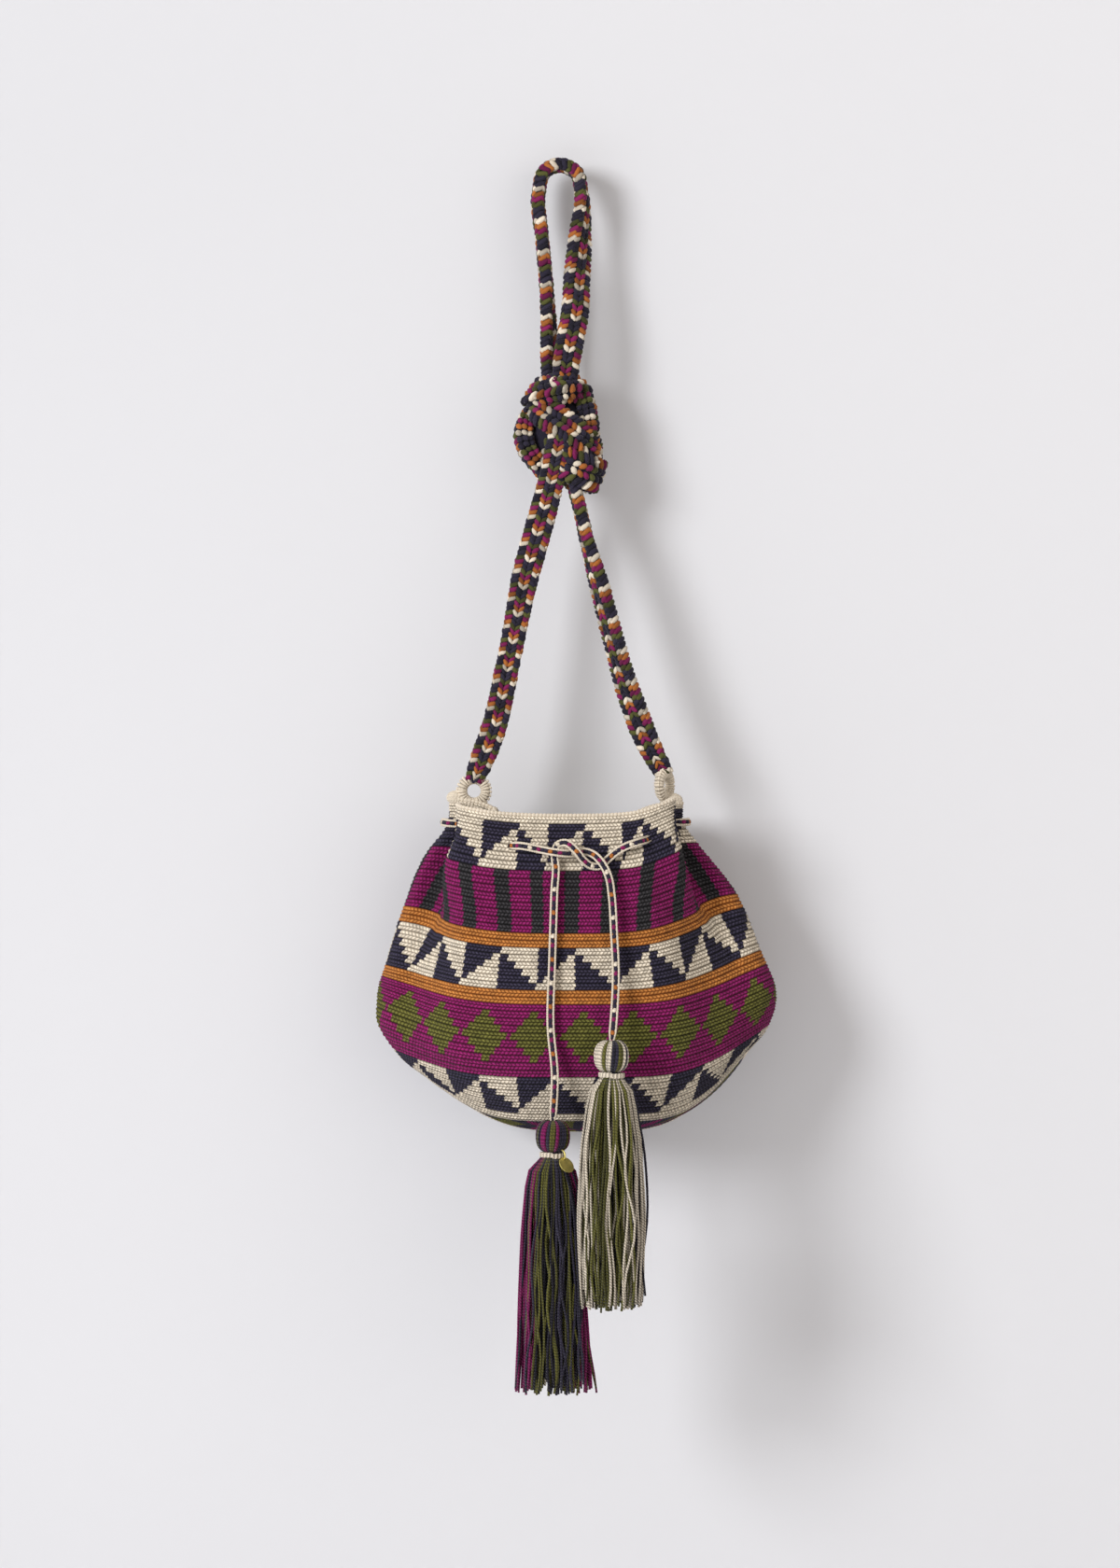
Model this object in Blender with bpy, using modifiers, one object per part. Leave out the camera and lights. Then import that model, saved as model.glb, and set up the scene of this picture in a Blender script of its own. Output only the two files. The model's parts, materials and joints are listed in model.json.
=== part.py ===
"""A wayuu mochila: a crocheted bag hung by the knotted loop of its strap, with a drawstring and two tassels.

Metres, +Z up, front facing -Y. The origin is where the strap's crest rests on its peg. The tables of rows, routes
and outlines are written in table units, and mm() turns them into metres.
"""

import math

import bmesh
import bpy
import numpy as np
from mathutils import Matrix, Vector

CLEARANCE = 0.0003

# Length of one unit of the tables
TABLE_UNIT = 0.001

# Crocheted wall
WALL = 0.0026
STITCHES = 240
COLUMNS = 72
EYELET_DIAMETER = 0.0066
EYELET_ROW = 4.2
EYELET_STITCHES = (-12.5, -41, -76, -104, 104, 76, 41, 23)

# Row, x left, x right, z front, z left, z right, z back, half depth, gather (1 is the fully folded neck)
BODY_ROWS = (
    (0, -65.5, 72.6, -379.7, -370.0, -372.5, -381.0, 36.0, 1.00),
    (5, -68.5, 75.0, -401.3, -388.0, -387.0, -399.0, 40.0, 0.95),
    (7, -76.0, 81.0, -411.0, -397.0, -395.0, -409.0, 43.0, 0.82),
    (15, -92.5, 104.5, -447.0, -432.6, -425.4, -446.0, 50.0, 0.32),
    (23, -103.5, 119.0, -479.6, -467.6, -459.0, -482.0, 54.0, 0.05),
    (29, -108.5, 128.0, -504.3, -488.0, -483.0, -510.0, 55.0, 0.0),
    (32, -108.0, 127.5, -517.3, -503.0, -493.5, -524.5, 52.5, 0.0),
    (35, -98.5, 123.5, -530.2, -518.0, -504.0, -539.0, 49.0, 0.0),
    (42, -78.0, 112.0, -555.6, -535.0, -517.0, -569.5, 39.0, 0.0),
)
LEVELS = (0, 1, 3, 5, 7, 9, 12, 15, 17, 20, 23, 25, 28, 32, 35, 38, 41, 42)
BASE_SHARES = (0.7, 0.35)
BASE_SAG = 0.002
BASE_POWER = 2.0
BASE_BULGE = 1.2

# A quarter of the folded neck from the front centre to the side, as shares of half width and half depth
NECK_QUARTER = (
    (0.0, -1.0), (0.36, -1.0), (0.72, -0.97), (0.90, -0.84), (0.92, -0.60),
    (0.76, -0.43), (0.61, -0.29), (0.76, -0.20), (0.94, -0.15), (1.0, 0.0),
)

# The belly is round in front and flat behind: the powers of its two halves, and how far back its widest place is
BELLY_POWERS = (2.0, 2.8)
BELLY_MIDDLE = 0.22

# Where the front folds back to the sides below the neck: depth, left and right place, width as shares of half width
CREASE_DEPTH = 16.0
CREASE_PLACES = (0.72, 0.60)
CREASE_WIDTH = 0.24

# The rim dips where it folds inward: the depth in table units, and where, as the sine of the angle round the loop
FOLD_DIP = 6.5
FOLD_PLACE = 0.9
FOLD_SPREAD = 0.055

# The rim rises at the front's left and right corners: the height in table units, and where, in degrees
CORNER_RISE = (1.5, 6.5)
CORNER_PLACE = 47.0
CORNER_SPREAD = 13.0

# Colour bands: first row and colour of the plain ones, and the first rows of the stepped and striped ones
PLAIN_BANDS = ((0, 1, "cream"), (15, 17, "mustard"), (23, 25, "mustard"), (41, 42, "cream"))
STEPPED_BANDS = (1, 17, 35)
STRIPED_BAND = 7
DIAMOND_BAND = 25
CELL_COLUMNS = 3

# Strap
STRAP_WIDTH = 0.0155
STRAP_THICKNESS = 0.0075
STRAP_STEP = 0.011

# Route points of the strap: x, y, z, turn of the wide face from the viewer in degrees, share of the width
LOOP_ROUTE = (
    (-4.4, 7.0, -125.0, 55, 0.9), (-5.4, 7.5, -110.0, 62, 1.0), (-7.0, 3.5, -84.0, 80, 1.0),
    (-8.2, 1.0, -64.0, 88, 1.0), (-10.6, 0.0, -39.0, 90, 1.0), (-12.4, 0.0, -11.8, 90, 1.0),
    (-9.0, 0.0, 0.2, 90, 1.0), (0.0, 0.0, 3.75, 90, 1.0), (9.0, 0.0, 0.0, 90, 1.0),
    (12.7, 0.0, -14.0, 98, 1.0), (11.8, -1.0, -39.0, 128, 1.0), (10.0, -2.5, -64.0, 148, 1.0),
    (8.8, -4.0, -84.0, 162, 1.0), (4.6, -6.5, -108.0, 176, 1.0), (2.6, -6.0, -124.0, 180, 0.9),
)
LEFT_ROUTE = (
    (-2.0, -5.0, -168.0, 0, 0.9), (-4.5, -5.0, -179.0, 0, 0.9), (-7.0, -4.0, -190.0, 0, 0.95),
    (-13.2, -3.0, -212.6, 0, 1.0), (-20.7, -3.0, -240.0, 0, 0.96), (-26.0, -3.0, -267.6, 0, 0.84),
    (-31.8, -3.0, -296.0, 5, 0.84), (-39.0, -3.5, -328.0, 8, 0.88), (-45.6, -4.0, -346.0, 5, 0.85),
    (-50.4, -4.0, -358.5, 0, 0.62),
)
RIGHT_ROUTE = (
    (4.0, -3.0, -170.0, -80, 0.9), (9.6, -3.0, -190.6, -86, 0.9), (16.0, -3.0, -218.0, -84, 0.95),
    (22.0, -3.0, -240.0, -66, 0.95), (27.8, -3.0, -262.0, -58, 0.92), (33.6, -3.0, -284.0, -52, 0.9),
    (40.0, -3.0, -306.0, -42, 0.92), (45.8, -3.0, -322.0, -30, 0.92), (52.8, -3.0, -339.0, -12, 0.85),
    (61.2, -3.0, -354.5, 0, 0.62),
)

# The knot: its collar's centre, and its folds as route points x, y, z and radius
KNOT_COLLAR = (-2.4, 0.0, -129.5)
COLLAR_RADIUS = 0.0108
COLLAR_TUBE = 0.0070
COLLAR_SHAPE = (1.0, 0.9, 1.2)
KNOT_FOLDS = (
    ((-7.0, -1.0, -133.0, 6.0), (-14.0, -0.5, -141.5, 6.2), (-19.8, -2.0, -150.5, 6.6),
     (-19.4, -3.6, -160.0, 6.6), (-13.5, -3.2, -170.0, 6.4), (-5.0, -2.0, -180.0, 6.2)),
    ((7.0, -2.5, -130.0, 6.2), (13.4, -2.8, -145.0, 6.5), (14.2, -2.4, -158.0, 6.7),
     (10.4, -1.6, -171.0, 7.0)),
    ((-3.0, -5.0, -134.0, 8.5), (-3.5, -7.0, -146.0, 9.5), (3.5, -7.4, -157.0, 10.2),
     (4.0, -6.2, -168.0, 9.6), (1.0, -3.6, -180.0, 7.5)),
)
KNOT_BULGE = ((13.6, -2.5, -177.0), (11.6, 11.0, 12.0))
KNOT_STEP = 0.006

# Strap rings: centre and turn about Z; centre and half sizes of the sewn mound that holds each to the rim
RING_RADIUS = 0.007
RING_TUBE = 0.0032
RINGS = {
    "left": ((-50.6, -4.0, -365.0), 0, (-60.5, -2.0, -369.0), (6.5, 4.5, 4.2)),
    "right": ((61.5, -3.0, -361.5), 62, (65.5, -1.0, -370.5), (7.0, 5.0, 4.2)),
}

# Drawstring: its neck route as (stitch, side of the wall: 1 on its outside, 0 in the eyelet, -1 on its inside, row)
CORD_DIAMETER = 0.004
CORD_STEP = 0.009
NECK_ROUTE = (
    (-12.5, 0, 4.2), (-16, -1, 4.2), (-41, -1, 4.2), (-41, 0, 4.2), (-42.5, 1, 4.2), (-49, 1, 4.1),
    (-56, 1.5, 3.9), (-60, 2, 3.8), (-64, 1.5, 3.9), (-69, 1, 4.1), (-74.5, 1, 4.2), (-76, 0, 4.2),
    (-76, -1, 4.2), (-101, -1, 4.2), (-104, 0, 4.2), (-107, 1, 4.2), (-114, 1, 4.2), (120, 1, 4.2),
    (114, 1, 4.2), (107, 1, 4.2), (104, 0, 4.2), (101, -1, 4.2), (76, -1, 4.2), (76, 0, 4.2), (74.5, 1, 4.2),
    (69, 1, 4.1), (64, 1.5, 3.9), (60, 2, 3.8), (56, 1.5, 3.9), (49, 1, 4.1), (42.5, 1, 4.2), (41, 0, 4.2),
    (41, -1, 4.2),
    (27, -1, 4.2), (23, 0, 4.2),
)
RIGHT_TAIL = (
    (-22.0, -44.2, -396.8), (-12.5, -45.6, -398.6), (-3.6, -50.4, -400.2), (3.0, -49.4, -401.0),
    (8.4, -46.2, -401.0), (14.0, -45.4, -400.0), (18.8, -47.0, -401.4), (22.6, -50.0, -404.6),
    (26.0, -51.6, -409.6), (28.4, -51.2, -416.0), (29.6, -51.8, -424.0), (31.0, -55.4, -446.0),
    (32.0, -60.2, -472.0), (31.0, -65.0, -492.0),
)
RIGHT_TAIL_END = (29.4, -72.0, -509.4)
LEFT_TAIL = (
    (45.0, -44.8, -394.6), (39.0, -45.6, -396.6), (33.6, -45.4, -399.4), (27.6, -45.4, -404.4),
    (23.0, -46.0, -408.4), (17.6, -47.0, -408.0), (13.6, -49.2, -405.0), (8.8, -51.0, -399.0),
    (3.4, -48.8, -395.0), (-1.6, -45.6, -396.6), (-3.0, -45.4, -402.0), (-2.4, -46.4, -409.0),
    (-3.2, -49.4, -422.0), (-3.8, -52.8, -440.0), (-4.6, -56.6, -466.0), (-5.4, -59.0, -500.0),
    (-3.0, -59.2, -528.0),
)
LEFT_TAIL_END = (-4.3, -58.0, -556.3)

# Tassels: head, neck and skirt radii, heights down from the head's top, and the binding
HEAD_RADIUS = 0.0102
HEAD_HEIGHT = 0.0185
NECK_RADIUS = 0.0056
BINDING_HEIGHT = 0.0034
BINDING_WIDTH = 0.0018
SKIRT_RADIUS = {"left": 0.0185, "right": 0.0172}
TASSEL_LENGTH = {"left": 0.159, "right": 0.156}
TASSEL_FLATNESS = 0.86
TASSEL_STEPS = 32
SOCKET_DEPTH = 0.003
SOCKET_FLARE = math.radians(39)

# Charm on the left binding: where it sits round the binding, its ring and its disc
CHARM_ANGLE = math.radians(48)
CHARM_RING_RADIUS = 0.0031
CHARM_WIRE = 0.001
CHARM_DIAMETER = 0.0098
CHARM_THICKNESS = 0.001
CHARM_HOLE = 0.0017
CHARM_EDGE = 0.0014
CHARM_BED = 0.006
CHARM_LEAN = math.radians(34)

COLOURS = {
    "cream": (0.72, 0.65, 0.54),
    "navy": (0.030, 0.026, 0.062),
    "magenta": (0.26, 0.012, 0.15),
    "dark": (0.032, 0.040, 0.042),
    "mustard": (0.47, 0.20, 0.045),
    "olive": (0.125, 0.13, 0.035),
    "brass": (0.58, 0.49, 0.12),
}


def mm(*values):
    """A point written in table units, as metres."""
    return tuple(value * TABLE_UNIT for value in values)


def ramp(at):
    """A smooth rise from 0 to 1."""
    at = np.clip(at, 0, 1)
    return at * at * (3 - 2 * at)


def smooth(at, places, values):
    """The values at `at` on a smooth curve through (places, values)."""
    places = np.asarray(places, float)
    values = np.asarray(values, float)
    slopes = np.gradient(values, places)
    k = np.clip(np.searchsorted(places, at, side="right") - 1, 0, len(places) - 2)
    span = places[k + 1] - places[k]
    t = (at - places[k]) / span
    start = (1 + 2 * t) * (1 - t) ** 2 * values[k] + t * (1 - t) ** 2 * span * slopes[k]
    return start + t * t * (3 - 2 * t) * values[k + 1] + t * t * (t - 1) * span * slopes[k + 1]


def lengths_along(points):
    steps = np.linalg.norm(np.diff(points, axis=0), axis=1)
    return np.concatenate([[0.0], np.cumsum(steps)])


def evenly(points, along):
    """The points at the given lengths along a fine polyline."""
    places = lengths_along(points[:, :3])
    return np.stack([np.interp(along, places, column) for column in points.T], axis=1)


def smooth_path(route, step):
    """Points about `step` apart on a smooth curve through the route's points. Columns past the third follow."""
    route = np.asarray(route, float)
    places = lengths_along(route[:, :3])
    fine_places = np.linspace(0, places[-1], 30 * len(route))
    fine = np.stack([smooth(fine_places, places, column) for column in route.T], axis=1)
    total = lengths_along(fine[:, :3])[-1]
    return evenly(fine, np.linspace(0, total, max(3, round(total / step) + 1)))


def collection(name, helper=False):
    made = bpy.data.collections.new(name)
    made.hide_render = helper
    bpy.context.scene.collection.children.link(made)
    return made


def material(name):
    """The yarn or metal colour of this name, made once."""
    made = bpy.data.materials.get(name)
    if made is None:
        made = bpy.data.materials.new(name)
        made.use_nodes = True
        shader = made.node_tree.nodes["Principled BSDF"]
        shader.inputs["Base Color"].default_value = (*COLOURS[name], 1)
        shader.inputs["Roughness"].default_value = 0.3 if name == "brass" else 0.9
        shader.inputs["Metallic"].default_value = 1.0 if name == "brass" else 0.0
        made.diffuse_color = (*COLOURS[name], 1)
    return made


def add_object(name, mesh, colours=(), helper=False):
    """An object in the mochila's collection, or among the cutters."""
    made = bpy.data.objects.new(name, mesh)
    bpy.data.collections["cutters" if helper else "wayuu_mochila"].objects.link(made)
    if helper:
        made.hide_render = True
        made.display_type = "WIRE"
    for colour in colours:
        mesh.materials.append(material(colour))
    return made


def boolean(obj, other, operation="DIFFERENCE"):
    modifier = obj.modifiers.new(other.name, "BOOLEAN")
    modifier.operation = operation
    modifier.object = other


def baked(obj):
    """The object with its modifiers, or its curve, turned into a plain mesh."""
    bpy.context.view_layer.update()
    evaluated = obj.evaluated_get(bpy.context.evaluated_depsgraph_get())
    mesh = bpy.data.meshes.new_from_object(evaluated)
    welded = bmesh.new()
    welded.from_mesh(mesh)
    bmesh.ops.remove_doubles(welded, verts=welded.verts, dist=1e-6)
    bmesh.ops.recalc_face_normals(welded, faces=welded.faces)
    welded.to_mesh(mesh)
    welded.free()
    name, place, helper = obj.name, obj.matrix_world.copy(), obj.hide_render
    bpy.data.objects.remove(obj)
    made = add_object(name, mesh, helper=helper)
    made.matrix_world = place
    return made


def loft(name, rings, colours=(), helper=False, centre=None, capped=True):
    """A skin through rings of equally many points: capped, closed below by a centre point, or open."""
    skin = bmesh.new()
    levels = [[skin.verts.new(point) for point in ring] for ring in rings]
    count = len(rings[0])
    for upper, lower in zip(levels, levels[1:]):
        for k in range(count):
            after = (k + 1) % count
            skin.faces.new((upper[k], lower[k], lower[after], upper[after]))
    if capped:
        skin.faces.new(levels[0])
        skin.faces.new(reversed(levels[-1]))
        bmesh.ops.recalc_face_normals(skin, faces=skin.faces)
    elif centre is not None:
        middle = skin.verts.new(centre)
        for k in range(count):
            skin.faces.new((levels[-1][k], middle, levels[-1][(k + 1) % count]))
    mesh = bpy.data.meshes.new(name)
    skin.to_mesh(mesh)
    skin.free()
    mesh.shade_smooth()
    return add_object(name, mesh, colours, helper)


# Bag body


def unit_loop(points, half_width, half_depth, count=STITCHES):
    """A closed loop in shares of its half sizes, with points evenly spaced at the given real size."""
    points = np.asarray(points, float)
    points = np.concatenate([points, points[:1]])
    real = points * (half_width, half_depth)
    places = lengths_along(real)
    return np.stack([np.interp(np.arange(count) / count * places[-1], places, c) for c in points.T], axis=1)


def neck_loop():
    """The folded section of the neck, mirrored from its quarter and smoothed."""
    quarter = np.array(NECK_QUARTER)
    half = np.concatenate([quarter, quarter[-2::-1] * (1, -1)])
    loop = np.concatenate([half, half[-2:0:-1] * (-1, 1)])
    around = np.concatenate([loop[-3:], loop, loop[:4]])
    places = lengths_along(around * (70, 40))
    fine = np.linspace(places[3], places[3 + len(loop)], 600, endpoint=False)
    return unit_loop(np.stack([smooth(fine, places, column) for column in around.T], axis=1), 70, 40)


def belly_loop():
    """The full section of the belly, round in front and flatter behind."""
    angle = np.linspace(0, 2 * math.pi, 720, endpoint=False)
    front = np.cos(angle) > 0
    power = 2 / np.where(front, *BELLY_POWERS)
    reach = np.where(front, -1 - BELLY_MIDDLE, 1 - BELLY_MIDDLE)
    x = np.sign(np.sin(angle)) * np.abs(np.sin(angle)) ** power
    y = BELLY_MIDDLE + reach * np.abs(np.cos(angle)) ** power
    return unit_loop(np.stack([x, y], axis=1), 118, 55)


NECK_LOOP = neck_loop()
BELLY_LOOP = belly_loop()


def crease(share, angle):
    """How far the belly is folded back beside its front, from 0 to 1."""
    place = np.where(share > 0, CREASE_PLACES[1], CREASE_PLACES[0])
    inner = ramp((np.abs(share) - place) / CREASE_WIDTH + 0.5)
    outer = 1 - ramp((np.abs(share) - 0.82) / 0.18)
    return inner * outer * (np.cos(angle) > 0)


def corner_rise(angle):
    """The rim's height at the front's two corners."""
    turn = np.degrees(np.arctan2(np.sin(angle), np.cos(angle)))
    height = np.where(turn > 0, CORNER_RISE[1], CORNER_RISE[0])
    return height * np.exp(-(((np.abs(turn) - CORNER_PLACE) / CORNER_SPREAD) ** 2))


def wall_section(row):
    """The outer face's dense loop at a row, from its front centre towards +X."""
    table = np.array(BODY_ROWS)
    left, right, front, side_left, side_right, back, depth, gather = (
        smooth(row, table[:, 0], column) for column in table[:, 1:].T
    )
    down = row / BODY_ROWS[-1][0]
    share = NECK_LOOP * gather + BELLY_LOOP * (1 - gather)
    angle = np.arange(STITCHES) / STITCHES * 2 * math.pi
    x = (left + right) / 2 + (right - left) / 2 * share[:, 0]
    y = depth * share[:, 1] + CREASE_DEPTH * (1 - gather) * (1 - down**2) * crease(share[:, 0], angle)
    lift = np.abs(np.sin(angle)) ** (2.5 + 2.5 * down)
    middle = (front + back) / 2 + (front - back) / 2 * np.cos(angle)
    side = np.where(np.sin(angle) > 0, side_right, side_left)
    dip = FOLD_DIP * np.exp(-(((np.abs(np.sin(angle)) - FOLD_PLACE) / FOLD_SPREAD) ** 2))
    z = middle * (1 - lift) + side * lift + gather * (corner_rise(angle) - dip)
    return np.stack([x, y, z], axis=1) * TABLE_UNIT


def wall_loop(row, count=COLUMNS):
    """Evenly spaced points round the outer face at a row, from x = 0 on the front towards +X."""
    dense = wall_section(row)
    loop = np.concatenate([dense, dense[:1]])
    places = lengths_along(loop)
    front = np.arange(-40, 40)
    nearest = np.interp(0.0, dense[front, 0], front)
    start = np.interp(nearest % STITCHES, np.arange(len(loop)), places)
    at = (start + np.arange(count) / count * places[-1]) % places[-1]
    return np.stack([np.interp(at, places, column) for column in loop.T], axis=1)


def base_loop(share):
    """A loop on the base, at this share of the way from its middle to its edge."""
    edge = wall_loop(BODY_ROWS[-1][0])
    middle = base_middle()
    loop = middle + (edge - middle) * share
    power = BASE_POWER + BASE_BULGE * ramp((edge[:, 0] - middle[0]) / (edge[:, 0].max() - middle[0]))
    loop[:, 2] = middle[2] + (edge[:, 2] - middle[2]) * share**power
    return loop


def base_middle():
    edge = wall_loop(BODY_ROWS[-1][0])
    x = (edge[:, 0].min() + edge[:, 0].max()) / 2
    front_and_back = edge[[0, COLUMNS // 2], 2].mean()
    return np.array([x, 0.0, front_and_back - BASE_SAG])


def wall_frame(stitch, row):
    """A point of the outer face and the direction out of it, level."""
    loop = wall_loop(row, STITCHES)
    at = stitch % STITCHES
    k = int(at) % STITCHES
    after = (k + 1) % STITCHES
    point = loop[k] + (loop[after] - loop[k]) * (at - int(at))
    along = loop[(k + 3) % STITCHES] - loop[(k - 2) % STITCHES]
    out = np.array([along[1], -along[0], 0.0])
    return point, out / np.linalg.norm(out)


def band_colour(row, column):
    """The colour of the crochet in this row and column of the coarse wall."""
    for first, end, colour in PLAIN_BANDS:
        if first <= row < end:
            return colour
    for first in STEPPED_BANDS:
        if first <= row < first + 6:
            step = int((row - first) // 2)
            cell, place = divmod(column, CELL_COLUMNS)
            stepped = place >= step if cell % 2 else place >= CELL_COLUMNS - step
            return "cream" if stepped else "navy"
    if STRIPED_BAND <= row < STRIPED_BAND + 8:
        return "dark" if column % CELL_COLUMNS == 1 else "magenta"
    centre = (column * STITCHES / COLUMNS) % 12 - 6
    tall = abs(row - DIAMOND_BAND - 5) / 4
    return "dark" if abs(centre) / 6 + tall < 1 else "magenta"


def base_colour(ring, column):
    return ("navy", "olive", "magenta")[(ring + column // 6) % 3]


def paint_body(mesh):
    """Gives each face of the wall and base its yarn's colour, in the order in which loft() made the faces."""
    names = [slot.name for slot in mesh.materials]
    for face in mesh.polygons:
        level, column = divmod(face.index, COLUMNS)
        if level < len(LEVELS) - 1:
            row = (LEVELS[level] + LEVELS[level + 1]) / 2
            face.material_index = names.index(band_colour(row, column))
        else:
            face.material_index = names.index(base_colour(level, column))


def wall_skin(name, rows, thickness, outward, helper=False):
    """The wall's outer face through these rows, thickened, with `outward` of the thickness outside it."""
    rings = [wall_loop(row) for row in rows]
    if helper:
        made = loft(name, rings, helper=True, capped=False)
    else:
        rings += [base_loop(share) for share in BASE_SHARES]
        colours = ("cream", "navy", "magenta", "dark", "mustard", "olive")
        made = loft(name, rings, colours, centre=base_middle(), capped=False)
        paint_body(made.data)
    solidify = made.modifiers.new("Thickness", "SOLIDIFY")
    solidify.thickness = thickness
    solidify.offset = 2 * outward / thickness - 1
    return made


def eyelet_cutter():
    """Eight short cylinders through the wall, where the drawstring passes."""
    pins = bmesh.new()
    for stitch in EYELET_STITCHES:
        point, out = wall_frame(stitch, EYELET_ROW)
        turn = Vector(out).to_track_quat("Z", "Y").to_matrix().to_4x4()
        middle = Vector(point - out * WALL / 2)
        bmesh.ops.create_cone(
            pins, cap_ends=True, segments=12, radius1=EYELET_DIAMETER / 2, radius2=EYELET_DIAMETER / 2,
            depth=WALL * 3.2, matrix=Matrix.Translation(middle) @ turn,
        )
    mesh = bpy.data.meshes.new("eyelets")
    pins.to_mesh(mesh)
    pins.free()
    return add_object("eyelets", mesh, helper=True)


def make_body():
    body = wall_skin("bag_body", LEVELS, WALL, 0.0)
    boolean(body, eyelet_cutter())
    boolean(body, cord_clearance())


def mound(name, centre, half):
    """An ellipsoid to join on, from its centre and half sizes in table units."""
    ball = bmesh.new()
    bmesh.ops.create_uvsphere(ball, u_segments=16, v_segments=10, radius=1)
    mesh = bpy.data.meshes.new(name)
    ball.to_mesh(mesh)
    ball.free()
    mesh.transform(Matrix.Translation(mm(*centre)) @ Matrix.Diagonal((*mm(*half), 1)))
    return add_object(name, mesh, helper=True)


# Strap


def band_rings(route, thickness=STRAP_THICKNESS, width=STRAP_WIDTH):
    """Rounded flat sections along a route of x, y, z, turn and share of the width."""
    route = np.array(route, float)
    route[:, :3] *= TABLE_UNIT
    path = smooth_path(route, STRAP_STEP)
    rings = []
    for k, (point, turn, share) in enumerate(zip(path[:, :3], np.radians(path[:, 3]), path[:, 4])):
        along = path[min(k + 1, len(path) - 1), :3] - path[max(k - 1, 0), :3]
        along /= np.linalg.norm(along)
        depth = np.array([0.0, 1.0, 0.0]) - along * along[1]
        depth /= np.linalg.norm(depth)
        across = np.cross(along, depth)
        wide = across * math.cos(turn) + depth * math.sin(turn)
        thin = np.cross(along, wide)
        rings.append(band_section(point, wide * width * share / 2, thin * thickness / 2))
    return rings


def band_section(point, wide, thin):
    """Ten points round a flat band with rounded edges."""
    corners = ((1, 0), (0.86, 0.7), (0.4, 1), (-0.4, 1), (-0.86, 0.7), (-1, 0))
    outline = corners + tuple((a, -b) for a, b in reversed(corners[1:-1]))
    return [point + wide * a + thin * b for a, b in outline]


def cord_tube(name, points, radii, helper, depth=1.0, resolution=2, colours=()):
    """A tube along the points as a mesh, with a radius at each point."""
    curve = bpy.data.curves.new(name, "CURVE")
    curve.dimensions = "3D"
    curve.bevel_depth = depth
    curve.bevel_resolution = resolution
    curve.use_fill_caps = True
    line = curve.splines.new("POLY")
    line.points.add(len(points) - 1)
    for at, point, radius in zip(line.points, points, radii):
        at.co = (*point, 1)
        at.radius = radius
    return baked(add_object(name, curve, colours, helper))


def knot_fold(number, route):
    path = smooth_path(np.array(route) * TABLE_UNIT, KNOT_STEP)
    return cord_tube(f"knot_fold_{number}", path[:, :3], path[:, 3] / TABLE_UNIT, True, depth=TABLE_UNIT)


def ring_place(side):
    centre, turn, _, _ = RINGS[side]
    return Matrix.Translation(mm(*centre)) @ Matrix.Rotation(math.radians(turn), 4, "Z")


def torus_mesh(name, radius, tube, turn, around=22, across=8):
    """A smooth torus about Z, then turned."""
    bpy.ops.mesh.primitive_torus_add(
        major_segments=around, minor_segments=across, major_radius=radius, minor_radius=tube,
    )
    made = bpy.context.object
    mesh = made.data
    bpy.data.objects.remove(made)
    mesh.name = name
    mesh.transform(turn)
    mesh.shade_smooth()
    return mesh


def knot_collar():
    """The fold that wraps both strands at the top of the knot."""
    mesh = torus_mesh("knot_collar", COLLAR_RADIUS, COLLAR_TUBE, Matrix.Diagonal((*COLLAR_SHAPE, 1)))
    made = add_object("knot_collar", mesh, helper=True)
    made.location = mm(*KNOT_COLLAR)
    return made


def ring_torus(name, side, tube, helper):
    """A torus on the ring's circle, facing -Y before the ring's own turn."""
    mesh = torus_mesh(name, RING_RADIUS, tube, Matrix.Rotation(math.pi / 2, 4, "X"))
    placed = add_object(name, mesh, () if helper else ("cream",), helper)
    placed.matrix_world = ring_place(side)
    return placed


def make_strap():
    """Loop, knot and both strands, joined into one band that is cut clear of the rings."""
    strap = loft("strap", band_rings(LOOP_ROUTE), ("cream", "navy", "magenta", "olive", "mustard"))
    paint_strap(strap.data)
    boolean(strap, knot_collar(), "UNION")
    for number, route in enumerate(KNOT_FOLDS):
        boolean(strap, knot_fold(number, route), "UNION")
    boolean(strap, mound("knot_bulge", *KNOT_BULGE), "UNION")
    for side, route in (("left", LEFT_ROUTE), ("right", RIGHT_ROUTE)):
        strand = loft(f"strand_{side}", band_rings(route), ("magenta",), helper=True)
        boolean(strap, strand, "UNION")
        boolean(strap, ring_torus(f"ring_clearance_{side}", side, RING_TUBE + CLEARANCE, True))
    return strap


def paint_strap(mesh):
    """Slanting stripes of colour along the loop."""
    for face in mesh.polygons:
        section, column = divmod(face.index, 10)
        face.material_index = (section * 2 + column // 2) % len(mesh.materials)


# Strap rings


def make_rings():
    rim = wall_skin("rim_clearance", LEVELS[:3], WALL + 2 * CLEARANCE, CLEARANCE, helper=True)
    rim.location.z = CLEARANCE
    for side in RINGS:
        ring = ring_torus(f"strap_ring_{side}", side, RING_TUBE, False)
        boolean(ring, mound(f"foot_{side}", *RINGS[side][2:]), "UNION")
        boolean(ring, rim)


# Drawstring


def neck_point(stitch, side, row):
    """A point of the drawstring at the neck: outside, inside, or halfway through an eyelet."""
    point, out = wall_frame(stitch, row)
    face = WALL / 2 * (np.sign(side) - 1)
    return point + out * (face + side * (CORD_DIAMETER / 2 + CLEARANCE))


def drawstring_path():
    """The whole cord's points: right tail up to its eyelet, round the neck, and down the left tail."""
    neck = [neck_point(*place) for place in NECK_ROUTE]
    left = [np.array(mm(*point)) for point in (*LEFT_TAIL, LEFT_TAIL_END)]
    right = [np.array(mm(*point)) for point in (*RIGHT_TAIL, RIGHT_TAIL_END)]
    return smooth_path(right[::-1] + neck + left, CORD_STEP)


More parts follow.
